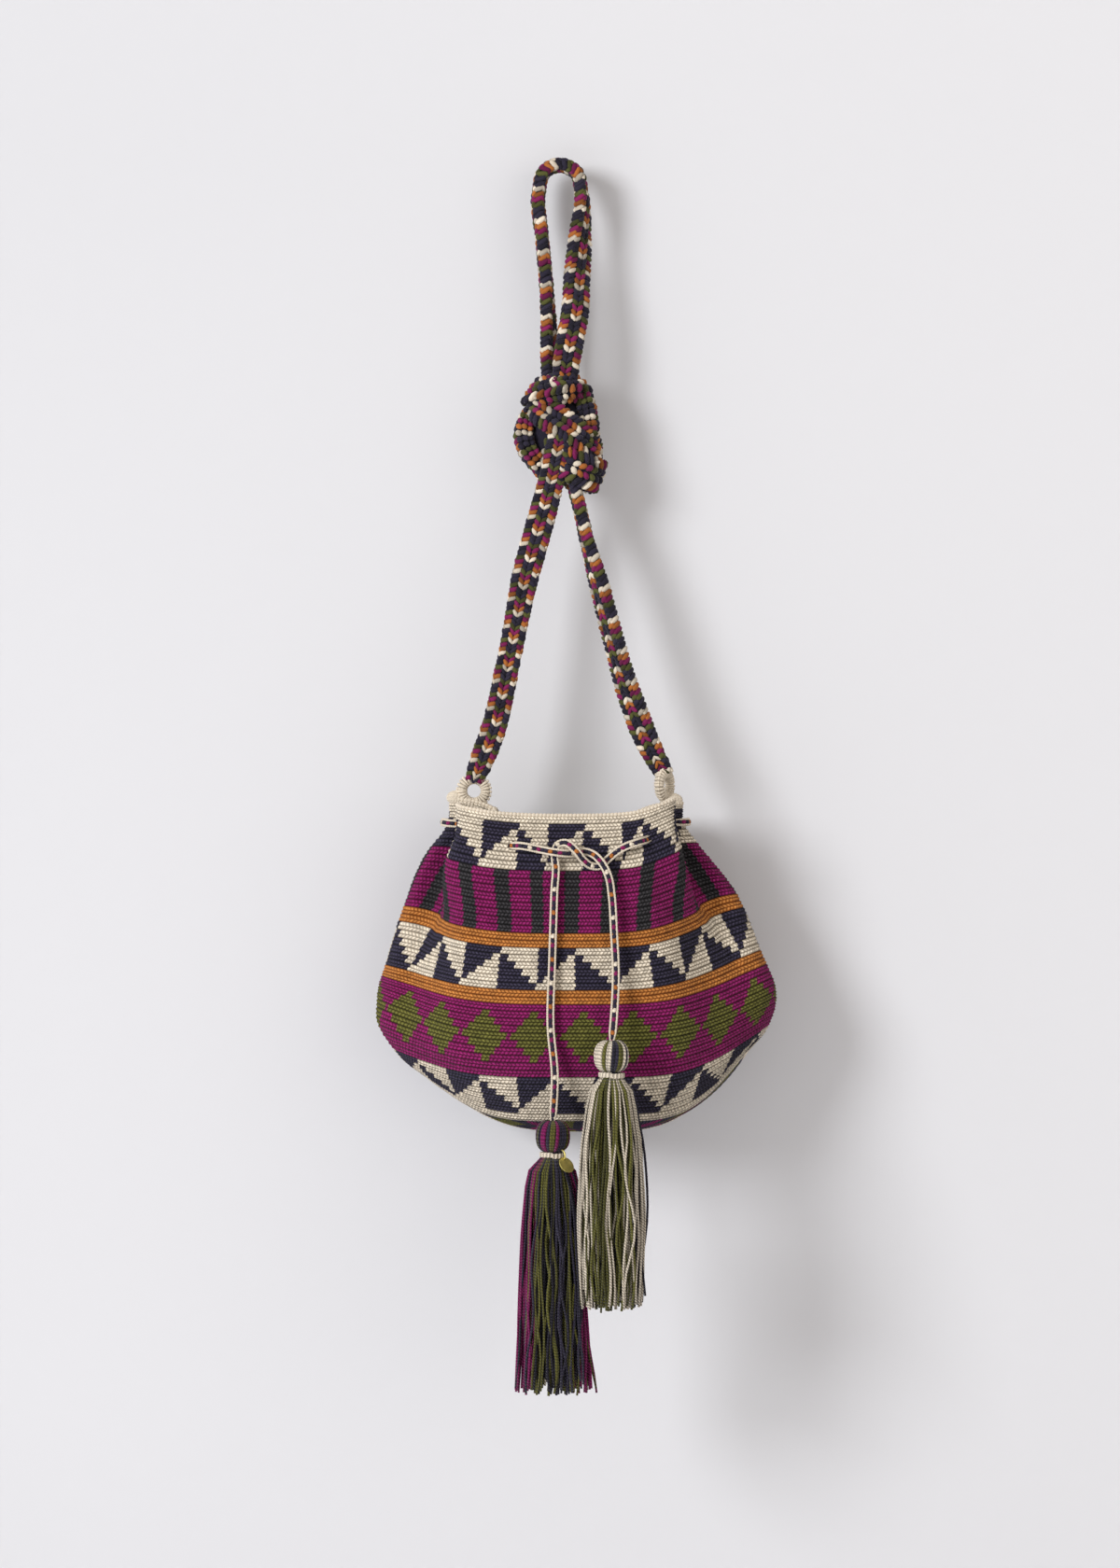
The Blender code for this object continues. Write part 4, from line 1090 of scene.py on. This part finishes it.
def wrapped_ring(side, wraps=27, tube=0.0029):
    """A ring covered in buttonhole stitch: a turn of yarn at each step, and a ridge round its outside."""
    place = np.array(ring_place(side))
    random = np.random.default_rng(5)
    frames, shades = [], []
    for k in range(wraps):
        angle = 2 * math.pi * (k + random.normal(0, 0.08)) / wraps
        out = np.array([math.sin(angle), 0.0, math.cos(angle)])
        along = np.array([math.cos(angle), 0.0, -math.sin(angle)])
        shade = random.uniform(0.88, 1.06)
        for spin in 2 * math.pi * np.arange(9) / 9:
            facing = out * math.cos(spin) + BACK * math.sin(spin)
            centre = out * RING_RADIUS + facing * (tube - 0.0006)
            narrow = 0.00078 + 0.00022 * math.cos(spin)
            slope = np.cross(along, facing) + along * 0.15
            frames.append(grain_frame(centre, slope, facing, 0.0018, narrow * 0.95, 0.0009))
            shades.append(shade)
        ridge = out * (RING_RADIUS + tube * 0.98) + (0, -0.0009, 0)
        frames.append(grain_frame(ridge, along + out * 0.35, out, 0.00105, 0.0009, 0.0008))
        # Painted highlight: the raised ridge is a little lighter than its own wrap.
        shades.append(shade * 1.04)
    frames = place[:3, :3] @ np.array(frames)
    frames[:, :, 3] += place[:3, 3]
    return scatter(f"ring_{side}_wraps", frames, [yarn("cream", shade) for shade in shades])


def ring_heart(side, tube=0.0024):
    """The inside of a ring, seen between its wraps, painted a darker cream as the shade there."""
    made = bmesh.new()
    angle = np.linspace(0, 2 * math.pi, 33)
    path = np.stack([np.sin(angle), np.zeros(33), np.cos(angle)], axis=1)
    spin = np.linspace(0, 2 * math.pi, 9)
    ring = path[:, None] * np.cos(spin)[None, :, None] + BACK * np.sin(spin)[None, :, None]
    bent_grid(made, path[:, None] * RING_RADIUS + ring * tube, (1, 30))
    bmesh.ops.remove_doubles(made, verts=made.verts, dist=MERGE)
    made.transform(ring_place(side))
    bmesh.ops.recalc_face_normals(made, faces=made.faces)
    return paint(finish_bmesh(made, "ring_heart"), yarn("cream", 0.6))


def ring_foot(side, levels=9):
    """The worked mound that holds the ring to the rim, in level rows of stitches."""
    _, _, centre, half = RINGS[side]
    centre, half = np.array(centre) / 1000, np.array(half) / 1000
    random = np.random.default_rng(3)
    frames, colours = [], []
    for level in range(levels):
        up = math.sin(math.radians(80 - 125 * level / (levels - 1)))
        flat = math.sqrt(1 - up * up)
        count = max(6, int(2 * math.pi * flat * (half[0] + half[1]) / 2 / 0.0017))
        for k in range(count):
            angle = 2 * math.pi * (k + level % 2 / 2) / count
            facing = np.array([flat * math.cos(angle), flat * math.sin(angle), up])
            point = centre + facing * half * 0.86
            along = np.array([-half[0] * math.sin(angle), half[1] * math.cos(angle), 0.0])
            lean = np.array([0.0, 0.0, 0.3 * (1 if level % 2 else -1)]) * np.linalg.norm(along)
            frames.append(grain_frame(point, along + lean, facing, 0.0014, 0.00085, 0.001))
            colours.append(yarn("cream", random.uniform(0.85, 1.05)))
    return scatter(f"ring_{side}_foot", frames, colours)


# Drawstring


def cord_frames(points, step=0.00135):
    """A flat cord's frames, with its thin side held towards the front."""
    path = smooth_path(points, step)
    frames = []
    facing = -BACK
    for k, point in enumerate(path):
        along = heading(path, k)
        facing = facing * 0.8 - BACK * 0.2
        facing = unit(facing - along * np.dot(facing, along))
        frames.append((point, along, np.cross(along, facing), facing))
    return frames


def drawstring_braid(name, frames, tip=0):
    """Cream grains along both edges and mixed yarns down the middle of both faces, drawn in over the last `tip`."""
    middle = ("orange", "night", "wine", "night", "night", "cream", "night", "wine", "night", "night")
    made, colours = [], []
    for k, (point, along, across, facing) in enumerate(frames):
        share = min(1.0, 0.35 + 0.65 * (len(frames) - 1 - k) / tip) if tip else 1.0
        for edge in (1, -1):
            centre = point + across * edge * 0.00166 * share
            made.append(grain_frame(centre, along - across * edge * 0.34, facing, 0.00165, 0.00057, 0.00118))
            colours.append(yarn("cream"))
        if k % 2:
            continue
        slope = along + across * 0.35 * (1 if k % 4 else -1)
        for face in (1, -1):
            centre = point + facing * face * 0.00062
            made.append(grain_frame(centre, slope, facing * face, 0.0016, 0.0013 * share, 0.00092))
            colours.append(yarn(middle[(k // 2 + (face < 0) * 3) % len(middle)]))
    return scatter(name, made, colours)


def neck_points():
    points = []
    for stitch, side, row in NECK_ROUTE:
        point, direction = wall_frame(stitch, row)
        face = sizes().wall / 2 * (np.sign(side) - 1)
        points.append(point + direction * (face + side * (CORD_RADIUS + CORD_CLEARANCE)))
    return points


# Tassels

# The skirt's radius at these levels from its top to its end, as shares of its widest
SKIRT_LEVELS = (0, 0.05, 0.14, 0.30, 0.6, 0.9, 1.0)
SKIRT_SHARES = {
    "left": (0.42, 0.70, 0.84, 0.94, 1.04, 1.15, 1.20),
    "right": (0.42, 0.68, 0.84, 1.02, 1.12, 1.06, 1.00),
}
# The dent below the charm: depth as a share of the radius, level, and how far it spreads down and, in radians, round
DENT_DEPTH = 0.20
DENT_LEVEL = 0.075
DENT_SPREAD = 0.065
DENT_TURN = 0.5
BINDING_YARN_RADIUS = 0.00078


def skirt_share(side, down):
    """The skirt's radius as a share of its widest, by how far down it is."""
    return np.interp(down, SKIRT_LEVELS, SKIRT_SHARES[side])


def charm_dent(side, turn, down):
    """How far the skirt is pressed in below the charm, as a share of its radius."""
    if side == "right":
        return np.zeros(len(down))
    away = math.remainder(turn - (CHARM_ANGLE - math.pi / 2), 2 * math.pi)
    return DENT_DEPTH * math.exp(-(away / DENT_TURN) ** 2) * np.exp(-((down - DENT_LEVEL) / DENT_SPREAD) ** 2)


def tube_points(path, radius, sides=5):
    """A table of points for a thin round tube along a path, closed across."""
    along = np.gradient(path, axis=0)
    along /= np.linalg.norm(along, axis=1, keepdims=True)
    side = np.cross(along, (0.31, 0.95, 0.05))
    side /= np.linalg.norm(side, axis=1, keepdims=True)
    other = np.cross(along, side)
    angle = np.linspace(0, 2 * math.pi, sides + 1)
    ring = side[:, None] * np.cos(angle)[None, :, None] + other[:, None] * np.sin(angle)[None, :, None]
    return path[:, None] + ring * np.asarray(radius)[..., None, None]


def pivot(side):
    return np.array((LEFT_TAIL if side == "left" else RIGHT_TAIL)[-1]) / 1000


def round_tassel(radius, angle, height):
    """Points of a path at these radii, angles and heights from the tassel's axis."""
    return np.stack([radius * np.cos(angle), radius * np.sin(angle) * TASSEL_FLATNESS, height], axis=1)


def head_meridians(made, side, colours, random, count=30):
    """Yarns that run from the top of the head over its round to the binding."""
    faces, names = [], []
    centre = pivot(side) + (0, 0, SOCKET_DEPTH - HEAD_HEIGHT * 0.53)
    for k in range(count):
        turn = 2 * math.pi * (k + random.normal(0, 0.10)) / count
        angle = np.linspace(math.radians(15), math.radians(166), 14)
        full = np.abs(np.sin(angle)) ** 0.72
        level = (HEAD_RADIUS - 0.0014 + random.normal(0, 0.0002)) * full
        swirl = turn + 0.10 * np.cos(angle)
        height = HEAD_HEIGHT * 0.49 * np.sign(np.cos(angle)) * np.abs(np.cos(angle)) ** 0.85
        thick = 0.00108 * np.clip(full * 1.15, 0.45, 1.0)
        path = centre + round_tassel(level, swirl, height)
        faces.append(len(bent_grid(made, tube_points(path, thick, 6), (1, 14))))
        names.append(colours(turn, random, 0.3))
    return faces, names


def skirt_yarns(made, side, colours, random):
    """Yarns that hang from the binding, each on its own way down, with ragged ends and a few strays."""
    faces, names = [], []
    top = pivot(side) + (0, 0, SOCKET_DEPTH - HEAD_HEIGHT - BINDING_HEIGHT / 2)
    full = TASSEL_LENGTH[side] - HEAD_HEIGHT - BINDING_HEIGHT
    count = sizes().tassel_yarns
    down = np.linspace(0, 1, 15)
    strays = set(random.choice(count, 7, replace=False))
    for depth, number in ((1.0, count), (0.80, round(count * 0.8)), (0.58, round(count * 0.5))):
        for k in range(number):
            turn = 2 * math.pi * (k + random.uniform(-0.45, 0.45)) / number
            stray = depth == 1.0 and k in strays
            length = full * (random.uniform(0.90, 0.97) if random.random() < 0.2 else random.uniform(0.965, 1.0))
            reach = SKIRT_RADIUS[side] * skirt_share(side, down * length / full) * depth * random.uniform(0.88, 1.0)
            reach = reach + down * (0.0055 if stray else 0.0007) * np.sin(down * 4 + k)
            reach = reach * (1 - charm_dent(side, turn, down))
            reach[0] = NECK_RADIUS * 0.85 * depth
            drift = random.normal(0, 0.16) * down + random.uniform(0.03, 0.14) * np.sin(
                down * random.uniform(5, 16) + k) * np.minimum(1, down * 3)
            path = round_tassel(reach, turn + drift, -down * length)
            radius = np.full(len(down), sizes().yarn_radius * random.uniform(0.8, 1.1))
            radius[0] *= 0.8
            faces.append(len(bent_grid(made, tube_points(top + path, radius), (1, 80))))
            names.append(colours(turn, random, 1.1))
    return faces, names


# The yarns round the skirt and over the head, from left of the front through the front
TASSEL_FIELDS = {
    "left": (
        "magenta magenta navy olive magenta olive navy olive olive night olive olive navy night navy olive "
        "navy navy navy magenta magenta magenta magenta navy olive magenta olive navy olive navy night olive "
        "magenta olive navy olive cream navy olive navy olive navy magenta magenta"
    ).split(),
    "right": (
        "cream cream olive cream cream olive navy olive olive olive olive cream olive olive olive cream olive "
        "cream cream cream navy navy cream cream olive cream olive navy olive cream olive magenta cream olive "
        "navy olive cream olive cream navy olive olive cream cream"
    ).split(),
}
HEAD_FIELDS = {
    "left": (
        "navy olive navy magenta navy olive magenta navy olive navy magenta wine olive navy magenta olive "
        "navy magenta olive navy olive magenta"
    ).split(),
    "right": (
        "cream cream cream olive cream cream navy olive cream navy cream cream olive cream navy cream olive "
        "cream navy cream olive cream"
    ).split(),
}


def tassel_colours(fields):
    """A rule that gives each yarn its colour from where it hangs round the tassel, left of the front first."""

    def pick(turn, random, spread):
        place = ((turn - math.pi) / (2 * math.pi) % 1) * len(fields) + random.normal(0, spread)
        name = fields[int(place) % len(fields)]
        shade = random.choice((0.45, 0.65, 0.8, 0.95, 1.05)) * random.uniform(0.92, 1.08)
        return yarn(name, shade**0.35 if name in ("cream", "magenta") else shade)

    return pick


def make_tassel(side):
    """The tassel's head, skirt and heart."""
    random = np.random.default_rng(21 if side == "left" else 22)
    made = bmesh.new()
    faces, colours = [], []
    for part, fields in ((head_meridians, HEAD_FIELDS), (skirt_yarns, TASSEL_FIELDS)):
        more = part(made, side, tassel_colours(fields[side]), random)
        faces += more[0]
        colours += more[1]
    bmesh.ops.remove_doubles(made, verts=made.verts, dist=1e-7)
    bmesh.ops.holes_fill(made, edges=made.edges)
    mesh = finish_bmesh(made, f"tassel_{side}")
    painted = np.repeat(np.array(colours), faces, axis=0)
    ends = np.tile(yarn("olive"), (max(0, len(mesh.polygons) - len(painted)), 1))
    paint(mesh, np.concatenate([painted, ends])[:len(mesh.polygons)])
    return joined(f"tassel_{side}", [mesh, tassel_shade_core(side)])


def tassel_shade_core(side):
    """The heart of the tassel, which closes the gaps between its yarns, painted dark as the shade between them."""
    made = bmesh.new()
    flat = Matrix.Diagonal((1, TASSEL_FLATNESS, 1, 1))
    head = Matrix.Translation(pivot(side) + (0, 0, SOCKET_DEPTH - HEAD_HEIGHT * 0.56))
    radius = HEAD_RADIUS * 0.82
    add_ball(made, 24, 12, head @ flat @ Matrix.Diagonal((radius, radius, HEAD_HEIGHT * 0.39, 1)))
    length = TASSEL_LENGTH[side] - HEAD_HEIGHT - 0.012
    middle = Matrix.Translation(pivot(side) + (0, 0, SOCKET_DEPTH - HEAD_HEIGHT - length / 2))
    bmesh.ops.create_cone(
        made, cap_ends=True, segments=24, radius1=SKIRT_RADIUS[side] * 0.62, radius2=NECK_RADIUS * 0.8,
        depth=length, matrix=middle @ flat, calc_uvs=True,
    )
    return paint(finish_bmesh(made, "heart"), yarn("navy", 0.5))


def make_binding(side, turns=3):
    """A cream yarn wound round the tassel's neck."""
    angle = np.linspace(0, 2 * math.pi * turns, 24 * turns + 1)
    climb = (angle / angle[-1] - 0.5) * BINDING_HEIGHT * 0.66
    path = pivot(side) + round_tassel(BINDING_RADIUS, angle - math.pi / 2, BINDING_LEVEL + climb)
    points = tube_points(path, np.full(len(path), BINDING_YARN_RADIUS), 8)
    return grid_mesh(f"binding_{side}", points, (1, 60), yarn("cream"), capped=True)


# Charm

WIRE_RADIUS = 0.0005
HOLE_RADIUS = 0.0008
DISC_THICKNESS = 0.0007


def charm_place():
    """The charm ring's centre and turn, as in the part: Y points in to the tassel, X along the binding."""
    across = BINDING_RADIUS * math.sin(CHARM_ANGLE)
    out = -BINDING_RADIUS * math.cos(CHARM_ANGLE) * TASSEL_FLATNESS
    tangent = Vector((-out / TASSEL_FLATNESS, across * TASSEL_FLATNESS, 0)).normalized()
    centre = Vector(pivot("left")) + Vector((across, out, BINDING_LEVEL))
    inward = Vector((-tangent.y, tangent.x, 0))
    return Matrix.Translation(centre) @ Matrix((tangent, inward, (0, 0, 1))).transposed().to_4x4()


def charm_ring_mesh():
    """A wire ring with its two ends nearly closed."""
    angle = np.linspace(math.radians(4), math.radians(356), 40)
    path = np.stack([np.zeros(40), -CHARM_RING_RADIUS * np.sin(angle), CHARM_RING_RADIUS * np.cos(angle)], axis=1)
    points = tube_points(path, np.full(40, WIRE_RADIUS), 10)
    return grid_mesh("charm_ring_wire", points, (1, 20), capped=True, place=charm_place())


def charm_disc_mesh():
    """A thin disc with a punched hole."""
    down = Vector((0, -math.sin(CHARM_LEAN), -math.cos(CHARM_LEAN)))
    made = bmesh.new()
    made.loops.layers.uv.verify()
    bmesh.ops.create_circle(made, cap_ends=False, segments=48, radius=CHARM_RADIUS)
    outer = made.edges[:]
    hole = bmesh.ops.create_circle(made, cap_ends=False, segments=48, radius=HOLE_RADIUS)["verts"]
    bmesh.ops.translate(made, verts=hole, vec=(0, CHARM_RADIUS - CHARM_EDGE, 0))
    bmesh.ops.bridge_loops(made, edges=outer + list({edge for vertex in hole for edge in vertex.link_edges}))
    bmesh.ops.recalc_face_normals(made, faces=made.faces)
    bmesh.ops.solidify(made, geom=made.faces, thickness=DISC_THICKNESS)
    bmesh.ops.translate(made, verts=made.verts, vec=(0, 0, DISC_THICKNESS / 2))
    middle = Matrix.Translation(down * (CHARM_RING_RADIUS + CHARM_RADIUS - CHARM_EDGE))
    made.transform(charm_place() @ middle @ Matrix.Rotation(math.pi / 2 - CHARM_LEAN, 4, "X"))
    mesh = finish_bmesh(made, "charm_disc_plate")
    mesh.set_sharp_from_angle(angle=math.radians(40))
    return mesh


# Operators


class MOCHILA_OT_wall(bpy.types.Operator):
    """Crochet the wall, its lining, rim and base"""

    bl_idname = "mochila.wall"
    bl_label = "Crocheted Wall"

    def execute(self, context):
        crochet = crochet_material()
        plain = yarn_material("Edge yarn")
        for name, mesh, material in (
            ("wall_upper", crochet_band("wall_upper", 0, 21), crochet),
            ("wall_lower", crochet_band("wall_lower", 21, ROWS), crochet),
            ("wall_lining", make_lining(), crochet),
            ("bag_base", make_base(), crochet),
            ("rim_edge", rim_edge(), plain),
        ):
            new_piece(name, mesh, material, "bag", ["bag_body"])
        return {"FINISHED"}


class MOCHILA_OT_strap(bpy.types.Operator):
    """Braid the strap with its loop, knot and two strands"""

    bl_idname = "mochila.strap"
    bl_label = "Braided Strap"

    def execute(self, context):
        pitch, width, thickness = sizes().braid_pitch, sizes().strap_width, sizes().strap_thickness
        meshes = []
        for name, (route, stretch, order, cream) in STRAP_RUNS.items():
            frames = band_frames(route, pitch * stretch, width, thickness)
            meshes.append((name, braid(name, frames, order, cream_start(frames, order, cream), RUN_EDGE)))
        for number, (wide, thick, route) in enumerate(KNOT_FOLDS):
            name = f"knot_fold_{number + 1}"
            frames = fold_frames(route, pitch, wide, thick)
            meshes.append((name, braid(name, frames, 1 if number % 2 else -1, number * 2, FOLD_EDGE)))
        collar = braid("knot_wrap", fold_frames(collar_route(), pitch, *COLLAR_BAND), 1, 2, FOLD_EDGE)
        meshes.append(("knot_collar", joined("knot_collar", [collar, knot_heart()])))
        material = yarn_material("Braid yarn")
        for name, mesh in meshes:
            new_piece(name, mesh, material, "bag", ["strap"])
        return {"FINISHED"}


class MOCHILA_OT_rings(bpy.types.Operator):
    """Wrap the strap's rings and sew them to the rim"""

    bl_idname = "mochila.rings"
    bl_label = "Strap Rings"

    def execute(self, context):
        material = yarn_material("Edge yarn")
        for side in RINGS:
            mesh = joined(f"ring_{side}", [ring_heart(side), wrapped_ring(side), ring_foot(side)])
            new_piece(f"ring_{side}", mesh, material, "bag", [f"strap_ring_{side}"])
        return {"FINISHED"}


class MOCHILA_OT_drawstring(bpy.types.Operator):
    """Thread and tie the drawstring"""

    bl_idname = "mochila.drawstring"
    bl_label = "Drawstring"

    def execute(self, context):
        material = yarn_material("Cord yarn")
        neck = neck_points()
        mesh = drawstring_braid("drawstring_neck", cord_frames(neck))
        new_piece("drawstring_neck", mesh, material, "bag", ["drawstring"])
        for name, eyelet, route in (("tail_right", neck[0], RIGHT_TAIL), ("tail_left", neck[-1], LEFT_TAIL)):
            frames = cord_frames(np.array([eyelet, *(np.array(point) / 1000 for point in route)]))
            tail = new_piece(name, drawstring_braid(name, frames, 5), material, "bag", ["drawstring"])
        return {"FINISHED"}


class MOCHILA_OT_tassels(bpy.types.Operator):
    """Hang the two tassels from the drawstring's tails"""

    bl_idname = "mochila.tassels"
    bl_label = "Tassels"

    def execute(self, context):
        material = yarn_material("Tassel yarn")
        for side in ("left", "right"):
            body = f"{side}_tassel"
            new_piece(f"tassel_{side}", make_tassel(side), material, body, [f"tassel_{side}_bundle"])
            new_piece(f"binding_{side}", make_binding(side), material, body, [f"tassel_{side}_binding"])
        return {"FINISHED"}


class MOCHILA_OT_charm(bpy.types.Operator):
    """Make the brass ring and its bare disc"""

    bl_idname = "mochila.charm"
    bl_label = "Charm"

    def execute(self, context):
        material = brass_material()
        new_piece("charm_wire", charm_ring_mesh(), material, "charm", ["charm_ring"])
        new_piece("charm_plate", charm_disc_mesh(), material, "charm", ["charm_disc"])
        return {"FINISHED"}


# Stage

# How far the studio wall leans away from the bag below its loop, in degrees
WALL_TILT = 5.6
# Lights: watts, diameter, colour, place and the point aimed at
LIGHTS = {
    "window_light": (82, 1.2, (0.965, 0.975, 1.0), (-2.1, -2.4, 0.45), (0, 0, -0.36)),
    "fill_light": (61, 5.0, (1.0, 0.935, 0.86), (3.0, -4.6, -0.5), (0, 0, -0.55)),
}
AIR_COLOUR = (1.0, 0.945, 0.895, 1)
AIR_STRENGTH = 0.61
SHEET_HALF = 4.0
WALL_PLACE = (0, 0.022, 0)
FLOOR_PLACE = (0, -3.87, -1.02)
CAMERA_LENS = 85.7
CAMERA_PLACE = (0, -2.2, -0.361)
WALL_COLOUR = (0.652, 0.655, 0.674)
# The wall's painted light and shade, which even out the lamps: axis, where each starts and ends, and its values there
WALL_PAINTED_LIGHT = ((0, -0.4, 0.4, 0.91, 1.09), (2, 0.01, -0.76, -0.03, 0.10), (0, -0.3, 0.3, 1.0, 0.2))


def backdrop_material(name):
    """A pale surface that shows from its front only, with painted shade towards the window and above and painted light
    lower down, most on the left, to even out the lamps.
    """
    made, tree, shader = new_material(name)
    axes = add_node(tree, "SeparateXYZ", Vector=object_place(tree)).outputs
    across, lower, nearer = (
        add_node(tree, "MapRange", Value=axes[axis], From_Min=start, From_Max=end, To_Min=low, To_Max=high).outputs[0]
        for axis, start, end, low, high in WALL_PAINTED_LIGHT
    )
    shade = math_node(tree, "MULTIPLY", across, math_node(tree, "MULTIPLY_ADD", lower, nearer, 1.0))
    feed(tree, shader, Base_Color=scaled_colour(tree, WALL_COLOUR, shade), Roughness=0.9, Specular_IOR_Level=0.1)
    back = tree.nodes.new("ShaderNodeNewGeometry").outputs["Backfacing"]
    mix = add_node(tree, "MixShader", Fac=back)
    tree.links.new(shader.outputs[0], mix.inputs[1])
    tree.links.new(tree.nodes.new("ShaderNodeBsdfTransparent").outputs[0], mix.inputs[2])
    feed(tree, tree.nodes["Material Output"], Surface=mix.outputs[0])
    return made


def stage_sheet(name, place, tilt, material):
    """A large square sheet of the stage."""
    made = bmesh.new()
    bmesh.ops.create_grid(made, x_segments=2, y_segments=2, size=SHEET_HALF)
    bmesh.ops.rotate(made, verts=made.verts, matrix=Matrix.Rotation(math.radians(tilt), 3, "X"))
    bmesh.ops.translate(made, verts=made.verts, vec=place)
    mesh = finish_bmesh(made, name)
    mesh.materials.append(material)
    return linked(name, mesh)


class MOCHILA_OT_studio(bpy.types.Operator):
    """Set up the wall, the floor, the light and the camera"""

    bl_idname = "mochila.studio"
    bl_label = "Studio"

    def execute(self, context):
        paper = backdrop_material("Pale wall")
        stage_sheet("studio_wall", WALL_PLACE, 90 + WALL_TILT, paper)
        stage_sheet("studio_floor", FLOOR_PLACE, 0, paper)
        for name, (power, size, colour, place, aim) in LIGHTS.items():
            lamp = bpy.data.lights.new(name, "AREA")
            lamp.energy = power
            lamp.color = colour
            lamp.shape = "DISK"
            lamp.size = size
            light = linked(name, lamp)
            light.location = place
            light.rotation_euler = (Vector(aim) - Vector(place)).to_track_quat("-Z", "Y").to_euler()
        world = bpy.data.worlds.new("studio_air")
        world.use_nodes = True
        feed(world.node_tree, world.node_tree.nodes["Background"], Color=AIR_COLOUR, Strength=AIR_STRENGTH)
        context.scene.world = world
        camera = bpy.data.cameras.new("camera")
        camera.lens = CAMERA_LENS
        camera.sensor_width = 36
        camera.sensor_fit = "AUTO"
        eye = linked("camera", camera)
        eye.location = CAMERA_PLACE
        eye.rotation_euler = (math.pi / 2, 0, 0)
        context.scene.camera = eye
        context.scene.view_settings.view_transform = "Standard"
        return {"FINISHED"}


class MOCHILA_PT_panel(bpy.types.Panel):
    """Lists the mochila's steps and sizes"""

    bl_idname = "MOCHILA_PT_panel"
    bl_label = "Wayuu Mochila"
    bl_space_type = "VIEW_3D"
    bl_region_type = "UI"
    bl_category = "Mochila"

    def draw(self, context):
        layout = self.layout
        for operator in OPERATORS:
            layout.operator(operator.bl_idname)
        for group in (context.scene.mochila_yarns, context.scene.mochila_sizes):
            for name in group.__annotations__:
                layout.prop(group, name)


OPERATORS = (
    MOCHILA_OT_studio, MOCHILA_OT_drawstring, MOCHILA_OT_wall, MOCHILA_OT_strap, MOCHILA_OT_rings,
    MOCHILA_OT_tassels, MOCHILA_OT_charm,
)
CLASSES = (MochilaYarns, MochilaSizes, *OPERATORS, MOCHILA_PT_panel)


def register():
    for made in CLASSES:
        bpy.utils.register_class(made)
    bpy.types.Scene.mochila_yarns = PointerProperty(type=MochilaYarns)
    bpy.types.Scene.mochila_sizes = PointerProperty(type=MochilaSizes)


def unregister():
    del bpy.types.Scene.mochila_sizes
    del bpy.types.Scene.mochila_yarns
    for made in reversed(CLASSES):
        bpy.utils.unregister_class(made)


def main():
    register()
    for operator in OPERATORS:
        group, name = operator.bl_idname.split(".")
        getattr(getattr(bpy.ops, group), name)()


if __name__ == "__main__":
    main()
